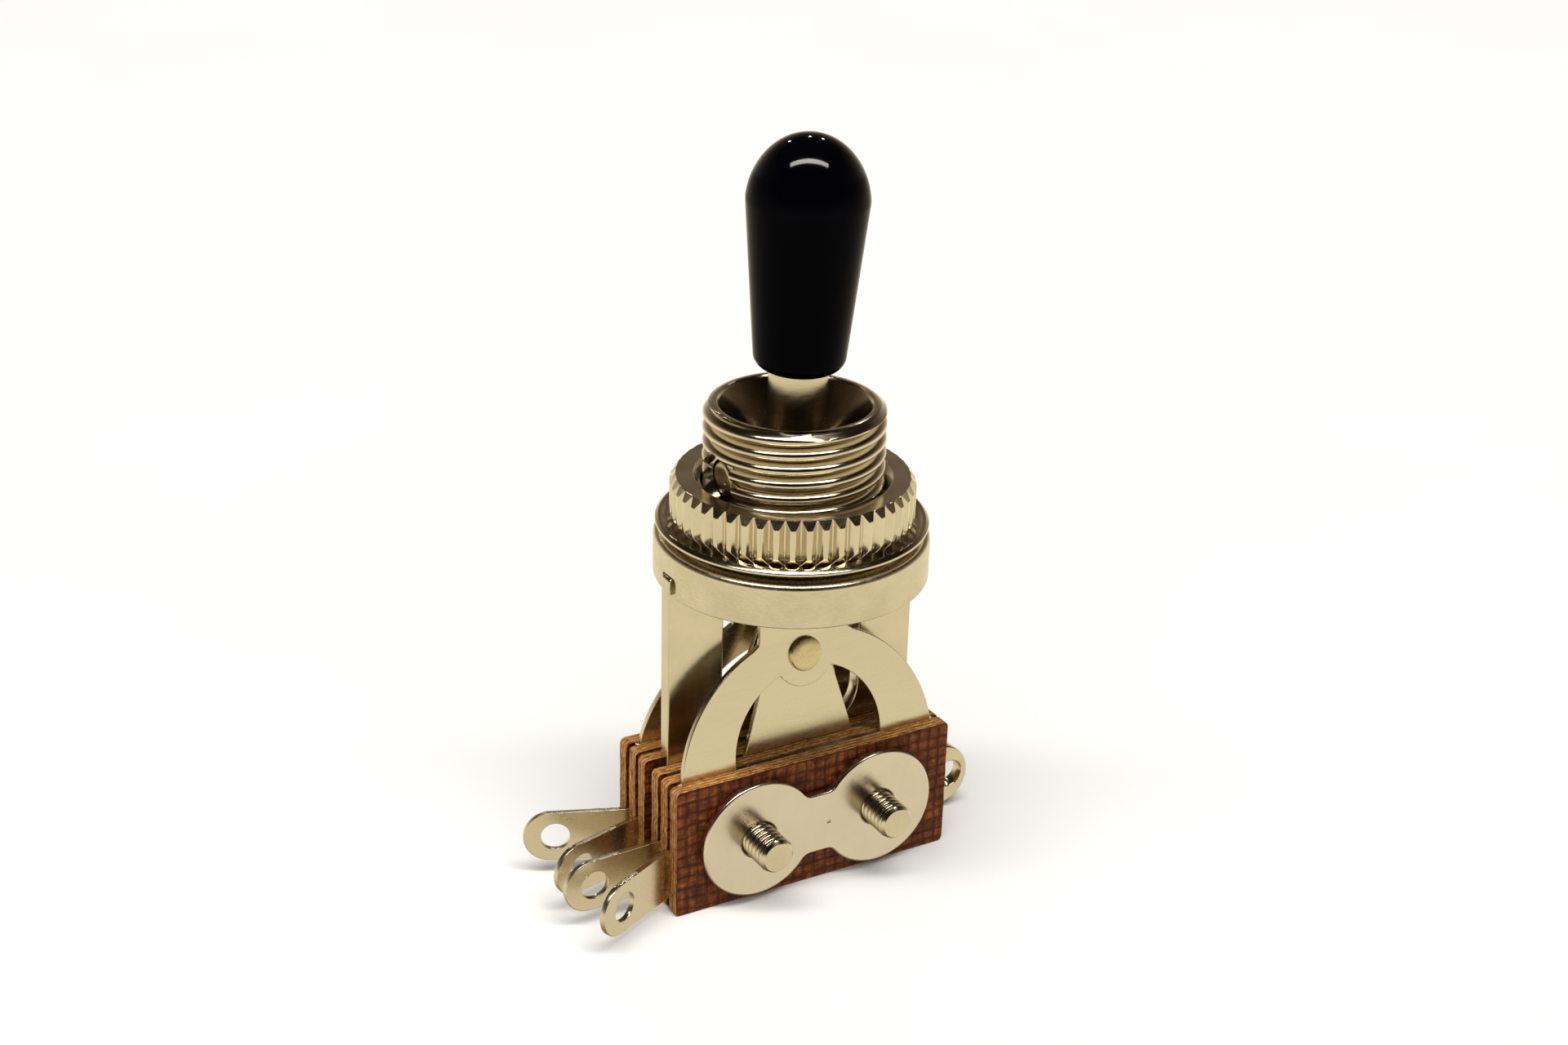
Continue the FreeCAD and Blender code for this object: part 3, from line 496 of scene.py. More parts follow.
def woven_face():
    """The face of the canvas laminate: a plain weave under brown resin, with painted shade where the threads dip."""
    made = Shader("laminate_face")
    thread_pitch = 0.82
    wander = made.math("MULTIPLY", made.math("SUBTRACT", made.noise(0.3, 2), 0.5), 0.9)

    def wave(axis, phase):
        along = made.math("ADD", made.coordinate(axis), wander)
        turn = made.math("MULTIPLY", along, math.pi / thread_pitch)
        return made.math("SINE", made.math("ADD", turn, phase))

    across, up = wave("X", 0.0), wave("Z", 0.6)
    weave = made.math("MULTIPLY", made.math("ABSOLUTE", across), made.math("ABSOLUTE", up))
    blur = made.math("MULTIPLY", made.math("SUBTRACT", made.noise(3.0, 2), 0.5), 0.5)
    dots = made.ramp(made.math("ADD", weave, blur), (0.0, 0.0), (0.62, 1.0))
    uneven = made.noise(1.3, 4, roughness=0.65)
    warp = made.noise(2.2, 3, vector=made.stretched(3.0, 1, 0.18))
    weft = made.noise(2.2, 3, vector=made.stretched(0.18, 1, 3.0))
    resin = made.ramp(
        uneven, (0.3, (0.115, 0.030, 0.008)), (0.5, (0.20, 0.060, 0.017)), (0.72, (0.34, 0.125, 0.036))
    )
    threads = made.ramp(made.math("MULTIPLY", made.math("ADD", warp, weft), 0.5), (0.4, 0.55), (0.62, 1.35))
    cloth = made.mix(1.0, resin, threads, "MULTIPLY")
    # Painted shade: the weave's dips, low in the bump, are darkened towards near black.
    painted_dip_shade = made.math("MULTIPLY", made.math("SUBTRACT", 1.0, dots), 0.72)
    made.link(made.mix(painted_dip_shade, cloth, (0.040, 0.0070, 0.0030)), made.surface.inputs["Base Color"])
    height = made.math("ADD", made.math("MULTIPLY", dots, 0.7), made.math("MULTIPLY", uneven, 0.6))
    made.link(made.bump(height, 0.05), made.surface.inputs["Normal"])
    made.link(made.ramp(uneven, (0.3, 0.42), (0.7, 0.62)), made.surface.inputs["Roughness"])
    made.settings(Specular_IOR_Level=0.25)
    return made.material


def cut_edge():
    """The sawn edge of the laminate: paler, with plies as lines along the board, and short loose fibres."""
    made = Shader("laminate_edge")
    ply = 0.32
    across = made.math("ADD", made.coordinate("Y"), made.math("MULTIPLY", made.noise(0.8, 2), 0.25))
    plies = made.math("SINE", made.math("MULTIPLY", across, 2 * math.pi / ply))
    fibre = made.noise(2.6, 4, vector=made.stretched(1, 3, 1), roughness=0.7)
    mottled = made.ramp(
        fibre, (0.32, (0.19, 0.062, 0.016)), (0.5, (0.55, 0.27, 0.085)), (0.68, (0.88, 0.55, 0.25))
    )
    lines = made.ramp(made.math("ADD", made.math("MULTIPLY", plies, 0.5), 0.5), (0.1, 0.55), (0.6, 1.0))
    made.link(made.mix(1.0, mottled, lines, "MULTIPLY"), made.surface.inputs["Base Color"])
    height = made.math("ADD", made.math("MULTIPLY", plies, 0.3), fibre)
    made.link(made.bump(height, 0.06), made.surface.inputs["Normal"])
    made.settings(Roughness=0.7, Specular_IOR_Level=0.2)
    return made.material


def moulded_tip():
    """Black plastic with a blue cast, faint flow marks and dust, glossier on the dome than below."""
    made = Shader("tip_gloss")
    flow = made.noise(0.25, 3, vector=made.stretched(1, 1, 0.3))
    deep = made.ramp(flow, (0.35, (0.0009, 0.0009, 0.0020)), (0.7, (0.0018, 0.0018, 0.0045)))
    dust = made.ramp(made.spots(1.1), (0.025, 1.0), (0.05, 0.0))
    rare = made.ramp(made.noise(0.8, 2), (0.6, 0.0), (0.66, 1.0))
    speck = made.math("MULTIPLY", made.math("MULTIPLY", dust, rare), 0.5)
    made.link(made.mix(speck, deep, (0.10, 0.09, 0.07)), made.surface.inputs["Base Color"])
    made.link(made.ramp(made.noise(0.7, 3), (0.3, 0.055), (0.75, 0.10)), made.surface.inputs["Roughness"])
    made.link(made.bump(flow, 0.02), made.surface.inputs["Normal"])
    satin = made.ramp(made.math("DIVIDE", made.coordinate("Z"), 30.0), (0.80, 0.05), (0.87, 0.62))
    made.link(satin, made.surface.inputs["Specular IOR Level"])
    return made.material


def nylon():
    """Undyed nylon, slightly cloudy and translucent."""
    made = Shader("natural_nylon")
    cloud = made.noise(1.2, 3)
    tone = made.ramp(cloud, (0.3, (0.52, 0.50, 0.44)), (0.7, (0.66, 0.64, 0.57)))
    made.link(tone, made.surface.inputs["Base Color"])
    made.link(made.ramp(cloud, (0.3, 0.38), (0.7, 0.5)), made.surface.inputs["Roughness"])
    made.link(made.bump(made.noise(6, 2), 0.004), made.surface.inputs["Normal"])
    made.settings(Subsurface_Weight=0.1, Subsurface_Scale=0.0004)
    return made.material


thread_metal = plated("thread_nickel", roughness=(0.10, 0.17), grain=(0.3, 0.3, 4), pits=0.8, pit_scale=1.6)
# Painted shade: a darker, mottled nickel for the faces inside the bushing's mouth, standing in for the shade in the
# bore.
bore_painted_shade_metal = plated(
    "bore_nickel_painted_shade", colour=(0.26, 0.205, 0.14), roughness=(0.14, 0.24), mottle=0.3, grain=(3, 3, 0.3)
)
nut_metal = plated("nut_nickel_plate", roughness=(0.10, 0.20), mottle=0.08, grain=(3, 3, 0.4))
washer_metal = plated("washer_nickel_plate", roughness=(0.09, 0.15), mottle=0.05)
collar_metal = plated(
    "collar_nickel_plate", roughness=(0.20, 0.30), mottle=0.10, grain=(0.5, 0.5, 1.5), grain_depth=0.0004,
    pits=0.45
)
frame_metal = plated(
    "frame_nickel_plate", roughness=(0.17, 0.21), mottle=0.07, grain=(1.5, 1.5, 0.1), grain_depth=0.0004
)
leaf_metal = plated(
    "leaf_nickel_silver", roughness=(0.24, 0.27), mottle=0.03, grain=(0.1, 1.2, 1.2), grain_depth=0.0001
)
clamp_metal = plated(
    "clamp_nickel_plate", colour=(0.72, 0.665, 0.585), roughness=(0.20, 0.24), mottle=0.04,
    grain=(1, 1, 0.15), grain_depth=0.0003
)
screw_metal = plated("screw_nickel_plate", roughness=(0.13, 0.22), mottle=0.10)
rod_metal = plated(
    "rod_nickel_plate", roughness=(0.13, 0.24), mottle=0.08, grain=(0.3, 0.3, 8), grain_depth=0.0015
)
contact_metal = plated(
    "contact_silver_burnished", colour=(0.68, 0.58, 0.38), roughness=(0.22, 0.34), mottle=0.08
)
pin_metal = plated(
    "pin_steel_ground", colour=(0.50, 0.43, 0.30), roughness=(0.16, 0.30), mottle=0.15, grain=(0.3, 5, 5)
)
face_laminate, edge_laminate = woven_face(), cut_edge()
tip_plastic = moulded_tip()
nylon_plastic = nylon()


# ---------------------------------------------------------------- bushing, nut, washer and collar

def make_bushing():
    """The helical thread and the flared mouth, with a counterbored hole for the pivot pin at each side."""
    crest, root, foot = 6.0, 5.42, 0.3
    top, mouth, rim, lip_height = 8.575, 4.95, 5.5, 0.05
    bore, throat, counterbore, pin_hole = 3.2, 5.4, 1.9, 1.28
    lip = [(rim, top, 0), (rim - 0.16, top + lip_height, 0.1), (mouth + 0.14, top + lip_height, 0.1)]
    inside = [(mouth, top - 0.12, 0.12), (bore, throat, 0.3), (bore, -1.1, 0), (bore, -1.6, 0)]
    staked_rim = [(3.3, -1.65), (5.9, -1.65), (6.0, -1.55), (6.0, -1.15), (5.0, -1.12)]
    neck = [(5.0, -0.1), (5.3, foot)]
    around = [(p.x, p.y) for p in rounded([*lip, *inside])[1:]] + staked_rim + neck
    bm = threaded(
        crest, root, pitch=1.0, flat=0.06, first_crest=7.45, low=foot, high=top, above=around,
        limit=lambda height: 5.56 + (top - height) * 1.3, segments=144
    )
    holes = []
    for side in (-1, 1):
        tool = bmesh.new()
        bmesh.ops.create_cone(tool, cap_ends=True, segments=48, radius1=counterbore, radius2=1.75, depth=1.6)
        turn = Matrix.Rotation(math.radians(90 * side), 4, "Y")
        place = Matrix.Translation((side * 6.1, 0, PIVOT_Z))
        bmesh.ops.transform(tool, matrix=place @ turn, verts=tool.verts)
        holes.append(tool)
    through = bmesh.new()
    bmesh.ops.create_cone(through, cap_ends=True, segments=40, radius1=pin_hole, radius2=pin_hole, depth=14)
    bmesh.ops.transform(through, matrix=ALONG_PIN, verts=through.verts)
    bm = subtract(bm, *holes, through)
    # Faces inside the mouth take the second material, the painted shade of the bore.
    for face in bm.faces:
        if face.calc_center_median().xy.length < mouth:
            face.material_index = 1
    materials = [thread_metal, bore_painted_shade_metal]
    finish_piece("bushing", bm, "switch_body", ["threaded_bushing"], materials, sharp=38)


def make_pivot_pin():
    """A ground pin whose ends are staked: a ragged, domed burr that shows in the bushing's counterbore."""
    half = 5.35
    end = [(0, half - 0.12), (0.5, half - 0.04), (0.85, half), (1.1, half - 0.05), (1.24, half - 0.25)]
    profile = [(radius, -height) for radius, height in end] + [(r, h) for r, h in reversed(end)]

    def ragged(radius, angle, height):
        if abs(height) < half - 0.3 or radius > 1.2:
            return radius
        ripple = noise.noise(Vector((math.cos(angle) * 2.4, math.sin(angle) * 2.4, radius * 3)))
        return radius * (1 + 0.10 * ripple)

    bm = lathe(profile, 48, ragged)
    finish_piece("staked_pin", bm, "pivot", ["pivot_pin"], [pin_metal], sharp=50, tilt=ALONG_PIN)


def make_nut():
    """48 flat-topped teeth between V gaps; each gap runs out through the chamfers as a pointed facet."""
    teeth, crest, gap = 48, 8.1, 7.74
    bottom, top, chamfer, face = 0.5, 3.6, 0.52, 7.74
    flank = [(0.13, crest), (0.17, crest - 0.012), (0.46, gap)]
    tooth_shape = [(-phase, reach) for phase, reach in reversed(flank)] + flank
    columns = []
    for tooth in range(teeth):
        columns += [((tooth + phase) * 2 * math.pi / teeth, reach) for phase, reach in tooth_shape]
    slope = chamfer / (crest - face)
    rim = face - 0.05
    bm = bmesh.new()
    rings = []
    for row in range(4):
        ring = []
        for angle, reach in columns:
            cut = (reach - face) * slope
            places = [(rim, bottom), (reach, bottom + cut), (reach, top - cut), (rim, top)]
            radius, height = places[row]
            ring.append(bm.verts.new((radius * math.cos(angle), radius * math.sin(angle), height)))
        rings.append(ring)
    bore = [(6.55, top), (6.10, top - 0.42), (6.06, bottom + 0.2), (6.2, bottom)]
    for radius, height in bore:
        rings.append([bm.verts.new((radius * math.cos(a), radius * math.sin(a), height)) for a, _ in columns])
    rings.append(rings[0])
    for lower, upper in zip(rings, rings[1:]):
        for step in range(len(columns)):
            following = (step + 1) % len(columns)
            bm.faces.new([lower[step], lower[following], upper[following], upper[step]])
    piece = finish_piece("knurled_nut", bm, "nut", ["mounting_nut"], [nut_metal], sharp=25)
    soften(piece, 0.022, angle=24)


def make_washer():
    """A dished ring with a rolled bead round its edge."""
    bore, foot, face, edge = 6.14, 0.03, 0.49, 9.04
    below = [(bore, foot, 0), (8.3, foot, 0.05), (8.88, 0.24, 0.1)]
    bead = [(edge, 0.36, 0.06), (edge, 0.52, 0.12), (8.80, 0.70, 0.12), (8.60, 0.68, 0.08), (8.42, 0.56, 0.1)]
    above = [(7.6, face, 0.4), (bore, face, 0.04), (bore, foot, 0)]
    bm = lathe([(p.x, p.y) for p in rounded([*below, *bead, *above])], 180)
    finish_piece("beaded_washer", bm, "washer", ["dress_washer"], [washer_metal], sharp=50)


def make_collar():
    """A pressed cup with a raised seat, a rolled shoulder, and a slot with round corners for each leg."""
    bore, seat, wall, inside, roof, foot = 5.02, 7.8, 9.15, 8.15, -1.1, -3.25
    corners = [(bore, 0, 0), (seat, 0, 0.05), (7.9, -0.27, 0.04), (wall, -0.29, 0.38), (wall, foot, 0.09),
               (8.98, foot, 0.05), (inside, -3.1, 0.05), (inside, roof, 0.2), (bore, roof, 0), (bore, 0, 0)]
    bm = lathe([(p.x, p.y) for p in rounded(corners, 8)], 180)
    half_slot, slot_top, slot_corner = 0.9, -1.9, 0.35
    outline = rounded([(-half_slot, -4, 0), (-half_slot, slot_top, slot_corner),
                       (half_slot, slot_top, slot_corner), (half_slot, -4, 0)], 6)
    slots = []
    for side in (-1, 1):
        near, far = sorted((side * 7.5, side * 10))
        slots.append(solid([(p.x, p.y) for p in outline], near, far, "X"))
    bm = subtract(bm, *slots)
    piece = finish_piece(
        "cup_collar", bm, "switch_body", ["body_collar"], [collar_metal], sharp=40
    )
    soften(piece, 0.05, angle=50)


# ---------------------------------------------------------------- frame, boards and leaves

def sleeve_holes():
    return [circle(sign * SCREW_X, SCREW_Z, SLEEVE_HOLE) for sign in (-1, 1)]


def make_frame():
    """One flat plate: two legs with a tenon each, the clamped web between them, and the ground lug."""
    leg, inner, fillet = 9.39, 5.3, 2.5
    tenon_in, tenon_out, tenon_top = 6.2, 7.9, -1.12
    lug_z, lug_half, lug_tip, lug_hole = -22.4, 2.35, 15.0, 13.5
    half = [(0, BOARD_TOP, 0), (inner, BOARD_TOP, fillet), (inner, -1.9, 0.1), (tenon_in, -1.9, 0.05),
            (tenon_in, tenon_top, 0.05), (tenon_out, tenon_top, 0.05), (tenon_out, -1.95, 0.05),
            (leg, -1.95, 0.25)]
    right = [(p.x, p.y) for p in rounded([*half, (leg, -10, 0)], 8)]
    lug_end = arc(lug_tip - lug_half, lug_z, lug_half, 90, -90)
    lug = [(leg, lug_z + lug_half), *lug_end, (leg, lug_z - lug_half)]
    left = [(-x, z) for x, z in reversed(right[1:])]
    outline = [*right[:-1], *lug, (leg, BOARD_BOTTOM), (-leg, BOARD_BOTTOM), *left]
    bm = plate(outline, [circle(lug_hole, lug_z, WIRE_HOLE), *sleeve_holes()], PLATE, 0.1)
    finish_piece("frame_plate", bm, "switch_body", ["frame"], [frame_metal])


def make_board(side, layer, radius):
    """A punched board: its outline wanders by a few hundredths, and its faces and its cut edges differ."""
    corner, spacing, wander = 0.35, 0.35, 0.05
    left, right, bottom, top = -HALF_BOARD, HALF_BOARD, BOARD_BOTTOM, BOARD_TOP
    loop = rounded([(0, bottom, 0), (right, bottom, corner), (right, top, corner), (left, top, corner),
                    (left, bottom, corner), (0, bottom, 0)], 6)
    outline = []
    seed = SIDES[side] * LAYERS[layer] * 7.3
    for here, following in zip(loop, loop[1:]):
        count = max(1, round((following - here).length / spacing))
        for step in range(count):
            point = here.lerp(following, step / count)
            rough = noise.noise_vector(Vector((point.x * 0.9, point.y * 0.9, seed)))
            outline.append((point.x + rough.x * wander, min(point.y + rough.y * wander, top + 0.03)))
    holes = [circle(sign * SCREW_X, SCREW_Z, radius) for sign in (-1, 1)]
    bm = plate(outline, holes, BOARD, 0.045)
    bmesh.ops.translate(bm, vec=(0, LAYERS[layer] * SIDES[side], 0), verts=bm.verts)
    bm.normal_update()
    for face in bm.faces:
        face.material_index = 0 if abs(face.normal.y) > 0.9 else 1
    materials = [face_laminate, edge_laminate]
    finish_piece(
        f"{side}_{layer}_laminate", bm, "switch_body", [f"{side}_{layer}_board"], materials,
        sharp=50
    )


# Of each leaf: its clamped plate, its lug with the distances of tip and hole from the bend, the lugs' turns in
# degrees, and the heights where the outer leaf flexes and straightens and where the leaves meet.
PLATE_END, PLATE_FOOT = 10.0, -24.5
LUG_BEND, LUG_Z, LUG_HALF, LUG_TIP, LUG_EYE = 10.75, -22.3, 1.85, 7.0, 4.8
LUG_TURNS = {"back_outer": -21.5, "back_inner": 15.0, "front_inner": 2.5, "front_outer": 26.5}
FLEX_Z, KNEE_Z, CONTACT_Z = -15.4, -6.9, -8.7
OUTER_SLOPE, INNER_SLOPE = math.tan(math.radians(8.75)), math.tan(math.radians(5.7))


def leaf_foot():
    """The outline of a leaf's clamped plate and lug, from the top left corner round to the top right."""
    tip = LUG_BEND + LUG_TIP - LUG_HALF
    neck = PLATE_END + 0.35
    lug = [(-PLATE_END, LUG_Z + LUG_HALF + 0.5), (-neck, LUG_Z + LUG_HALF)]
    lug += arc(-tip, LUG_Z, LUG_HALF, 90, 270, 32)
    lug += [(-neck, LUG_Z - LUG_HALF), (-PLATE_END, PLATE_FOOT + 0.15), (-PLATE_END + 0.2, PLATE_FOOT)]
    return [(-PLATE_END, BOARD_TOP - 0.02), *lug, (PLATE_END, PLATE_FOOT), (PLATE_END, BOARD_TOP - 0.02)]


def leaf_holes():
    rivet = circle(0, CONTACT_Z, RIVET_HOLE, 24)
    return [circle(-LUG_BEND - LUG_EYE, LUG_Z, WIRE_HOLE), *sleeve_holes(), rivet]


def bend_leaf(bm, side, kind, layer, steps):
    """Turns the lug aside, leans the leaf by (height, slope above it) steps, and moves it to its layer."""
    sign = SIDES[side]
    bend_strip(bm, LUG_BEND, math.radians(LUG_TURNS[f"{side}_{kind}"]), 0.9)
    lean_strip(bm, [(height, -slope * sign) for height, slope in steps])
    bmesh.ops.translate(bm, vec=(0, layer * sign, 0), verts=bm.verts)


def make_outer_leaf(side):
    """One strip from its lug to its tab, bent at the boards' top edge and turned upright at the knee."""
    outer, outer_z, inner, inner_z = 9.78, -16.75, 5.63, -15.17
    boss, tab, top = 2.25, 3.3, -2.1

    def on_arch(radius, centre, height):
        return math.degrees(math.asin((height - centre) / radius))

    foot = BOARD_TOP - 0.02
    start = on_arch(outer, outer_z, foot)
    shoulder_turn = math.degrees(math.acos((tab + 0.55) / outer))
    right = arc(0, outer_z, outer, start, shoulder_turn, 40)
    shoulder = outer_z + math.sqrt(outer * outer - tab * tab)
    corner = [right[-1], (tab + 0.12, shoulder + 0.10), (tab, shoulder + 0.55)]
    tab_top = [(p.x, p.y) for p in rounded([(tab, shoulder + 0.8, 0), (tab, top, 0.5), (0, top, 0)], 5)]
    side_right = [*right[:-1], *corner, *tab_top]
    outline = [*leaf_foot(), *side_right, *[(-x, z) for x, z in reversed(side_right[:-1])]]
    span = CONTACT_Z - inner_z
    crossing = (inner * inner - boss * boss + span * span) / (2 * span)
    meet = math.degrees(math.asin(crossing / inner))
    low = on_arch(inner, inner_z, foot)
    around = math.degrees(math.atan2(inner_z + crossing - CONTACT_Z, math.sqrt(inner**2 - crossing**2)))
    opening = arc(0, inner_z, inner, low, meet, 40)[:-1]
    opening += arc(0, CONTACT_Z, boss, around, -180 - around, 20)[:-1]
    opening += arc(0, inner_z, inner, 180 - meet, 180 - low, 40)
    bm = plate(outline, [opening, *leaf_holes()], LEAF)
    bend_leaf(bm, side, "outer", OUTER_LEAF, [(FLEX_Z, OUTER_SLOPE), (KNEE_Z, 0)])
    replaced = [f"{side}_outer_terminal", f"{side}_outer_blade"]
    piece = finish_piece(f"{side}_outer_spring", bm, None, replaced, [leaf_metal])
    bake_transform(piece)


def make_inner_leaf(side):
    """A short trapezoid with a round top, in one strip with its plate and lug."""
    foot, crown, half = BOARD_TOP, 2.1, 4.2
    top = [(half, foot), *arc(0, CONTACT_Z, crown, 8, 172, 28), (-half, foot)]
    bm = plate([*leaf_foot(), *top], leaf_holes(), LEAF)
    bend_leaf(bm, side, "inner", INNER_LEAF, [(foot + 0.2, INNER_SLOPE)])
    replaced = [f"{side}_inner_leaf"]
    finish_piece(f"{side}_inner_spring", bm, "switch_body", replaced, [leaf_metal])


def make_contacts(side):
    """The rivets: a crowned head outside the arch, and a domed button on each leaf where they meet."""
    sign = SIDES[side]
    outer = OUTER_LEAF - OUTER_SLOPE * (CONTACT_Z - FLEX_Z)
    inner = INNER_LEAF - INNER_SLOPE * (CONTACT_Z - BOARD_TOP)
    half, gap, shank, head_radius = LEAF / 2, 0.03, 0.64, 1.2
    button = (outer - inner - LEAF - gap) / 2
    inside = [(0, -half - button), (0.6, -half - button + 0.05), (0.95, -half - 0.06), (1.08, -half)]
    head = [(head_radius, half), (head_radius, half + 0.16), (1.12, half + 0.28), (0.95, half + 0.34),
            (0.6, half + 0.355), (0, half + 0.36)]
    tail = [(1.05, half), (0.98, half + 0.1), (0.5, half + 0.17), (0, half + 0.18)]
    for kind, body, distance, end, slope, turn in (
        ("outer", f"{side}_leaf", outer, head, OUTER_SLOPE, -90),
        ("inner", "switch_body", inner, tail, INNER_SLOPE, 90),
    ):
        bm = lathe([*inside, (shank, -half), (shank, half), *end], 48)
        lean = Matrix.Rotation((math.radians(turn) + math.atan(slope)) * sign, 4, "X")
        tilt = Matrix.Translation((0, distance * sign, CONTACT_Z)) @ lean
        finish_piece(
            f"{side}_{kind}_rivet", bm, body, [f"{side}_{kind}_contact"], [contact_metal],
            sharp=25, tilt=tilt
        )


def make_clamp_plate():
    """Two discs and a waist between them, with rolled edges and a pin mark in the waist."""
    radius, waist, fillet = 4.25, 2.25, 0.8
    thickness, edge, mark_radius = 0.7, 0.16, 0.16
    reach = math.sqrt((radius + fillet) ** 2 - (waist + fillet) ** 2)
    centre_x, centre_z = SCREW_X - reach, waist + fillet
    meet = math.degrees(math.atan2(centre_z, -reach))
    disc = arc(SCREW_X, SCREW_Z, radius, -meet, meet, 64)
    corner = arc(centre_x, SCREW_Z + centre_z, fillet, meet - 180, -90, 6)[1:]
    right = [*[(x, 2 * SCREW_Z - z) for x, z in reversed(corner)], *disc, *corner]
    outline = [*right, *[(-x, 2 * SCREW_Z - z) for x, z in right]]
    holes = [circle(side * SCREW_X, SCREW_Z, 1.3, 40) for side in (-1, 1)]
    bm = plate(outline, holes, thickness, edge, 4)
    bmesh.ops.translate(bm, vec=(0, -STACK_FACE - 0.35, 0), verts=bm.verts)
    mark = bmesh.new()
    bmesh.ops.create_uvsphere(mark, u_segments=16, v_segments=10, radius=mark_radius)
    bmesh.ops.translate(mark, vec=(0.75, -STACK_FACE - 0.76, SCREW_Z - 0.1), verts=mark.verts)
    bm = subtract(bm, mark)
    finish_piece("clamp_plate", bm, "switch_body", ["front_clamp_plate"], [clamp_metal])


def make_screw(side, sign, turn):
    """A slotted screw laid along Y: cheese head at the back, a real helix and a chamfered end at the front."""
    end, shank, head, edge = 7.4, 1.24, 2.2, 0.06
    head_top, slot_floor = STACK_FACE + 1.3, STACK_FACE + 1.3 - 0.6
    cheese = [(head - edge, STACK_FACE, 0), (head, STACK_FACE + edge, 0.03), (head, head_top, 0.22),
              (0, head_top, 0)]
    above = [(1.0, -STACK_FACE - 0.1), (shank, -STACK_FACE), (shank, STACK_FACE), (head - edge, STACK_FACE)]
    above += [(p.x, p.y) for p in rounded(cheese)[1:]]
    bm = threaded(
        1.25, 0.98, pitch=0.45, flat=0.03, first_crest=-7.1, low=-end, high=-STACK_FACE - 0.2, above=above,
        below=[(0.9, -end), (0, -end)], limit=lambda height: 1.03 + (height + end), segments=72, rows=10
    )
    slot = solid([(-3, slot_floor), (3, slot_floor), (3, 9), (-3, 9)], -0.3, 0.3)
    bmesh.ops.rotate(slot, matrix=Matrix.Rotation(math.radians(turn), 3, "Z"), verts=slot.verts)
    bm = subtract(bm, slot)
    tilt = Matrix.Translation((sign * SCREW_X, 0, SCREW_Z)) @ Matrix.Rotation(math.radians(-90), 4, "X")
    replaced = [f"{side}_clamp_screw"]
    finish_piece(
        f"{side}_screw", bm, "switch_body", replaced, [screw_metal], sharp=38, tilt=tilt
    )


# ---------------------------------------------------------------- lever

def make_rod():
    """One turned part: a thin end for the shoe, the ball at the pivot, the rod, and a pin inside the tip."""
    hub, rod, pin = 2.9, 1.95, 1.5
    meet = math.degrees(math.acos(rod / hub))
    shoe_end = [(0, -8.3), (0.6, -8.3), (0.6, -5.6), (0.99, -5.6)]
    ball = arc(0, 0, hub, -70, meet, 28)
    tip_end = [(rod, 6.95), (pin, 7.05), (pin, 17.4), (0, 17.4)]
    bm = lathe([*shoe_end, *ball, *tip_end], 96)
    finish_piece(
        "polished_rod", bm, "lever", ["lever_rod"], [rod_metal], sharp=40, tilt=ALONG_LEVER
    )


def make_tip():
    """A moulded cone with a domed top; its lower end rolls in to a thin lip round the rod."""
    radius, crease, neck, bottom = 3.93, 18.28, 2.95, 7.0
    socket, socket_top = 1.52, 17.9
    below_crease, height, steps = 0.5, 4.6, 40
    first = math.asin(below_crease / height)
    width = radius / math.cos(first)
    turns = [first + (math.pi / 2 - first) * step / steps for step in range(steps + 1)]
    dome = [(width * math.cos(turn), crease - below_crease + height * math.sin(turn)) for turn in turns]
    dome[-1] = (0, dome[-1][1])
    lower = [(socket, socket_top, 0), (socket, bottom + 0.22, 0), (2.02, bottom + 0.16, 0.05),
             (2.1, bottom, 0.06), (neck, bottom, 0.9), (radius - 0.006, crease - 0.25, 0)]
    bm = lathe([(0, socket_top), *[(p.x, p.y) for p in rounded(lower, 18)], *dome], 128)
    finish_piece(
        "moulded_tip", bm, "lever", ["lever_tip"], [tip_plastic], sharp=9, tilt=ALONG_LEVER
    )


make_bushing()
make_pivot_pin()
make_nut()
make_washer()
make_collar()
make_frame()
for side in SIDES:
    for layer in LAYERS:
        make_board(side, layer, SCREW_HOLE if layer == "cover" else SLEEVE_HOLE)
    make_outer_leaf(side)
    make_inner_leaf(side)
    make_contacts(side)
make_clamp_plate()
make_screw("left", -1, 25)
make_screw("right", 1, -40)
make_rod()
make_tip()
for name in ("lever_shoe", "left_screw_sleeve", "right_screw_sleeve"):
    nodes[name].data.materials.clear()
    nodes[name].data.materials.append(nylon_plastic)


# ---------------------------------------------------------------- floor, light and camera

AZIMUTH, ELEVATION, ROLL = math.radians(-30.59), math.radians(24.39), math.radians(1.62)
# Level and towards the camera, straight towards it, and to its right.
FRONT = Vector((math.sin(AZIMUTH), -math.cos(AZIMUTH), 0))
BACK = Vector((
    math.sin(AZIMUTH) * math.cos(ELEVATION), -math.cos(AZIMUTH) * math.cos(ELEVATION), math.sin(ELEVATION)
))
RIGHT = Vector((math.cos(AZIMUTH), math.sin(AZIMUTH), 0))


def make_floor():
    """A plain pale table. Reflections don't show it, so that the metal mirrors the room instead."""
    level = BOARD_BOTTOM - 0.05
    bm = bmesh.new()
    bmesh.ops.create_grid(bm, x_segments=8, y_segments=8, size=4000)
    bmesh.ops.translate(bm, vec=(0, 0, level), verts=bm.verts)
    floor = finish_piece("table", bm, None, None, [], weighted=False)
    made = Shader("table_paper")
    made.link(made.ramp(made.noise(0.02, 3), (0.3, 0.89), (0.7, 0.91)), made.surface.inputs["Base Color"])
    made.settings(Roughness=0.85, Specular_IOR_Level=0.1)
    floor.data.materials.append(made.material)
    floor.visible_glossy = False


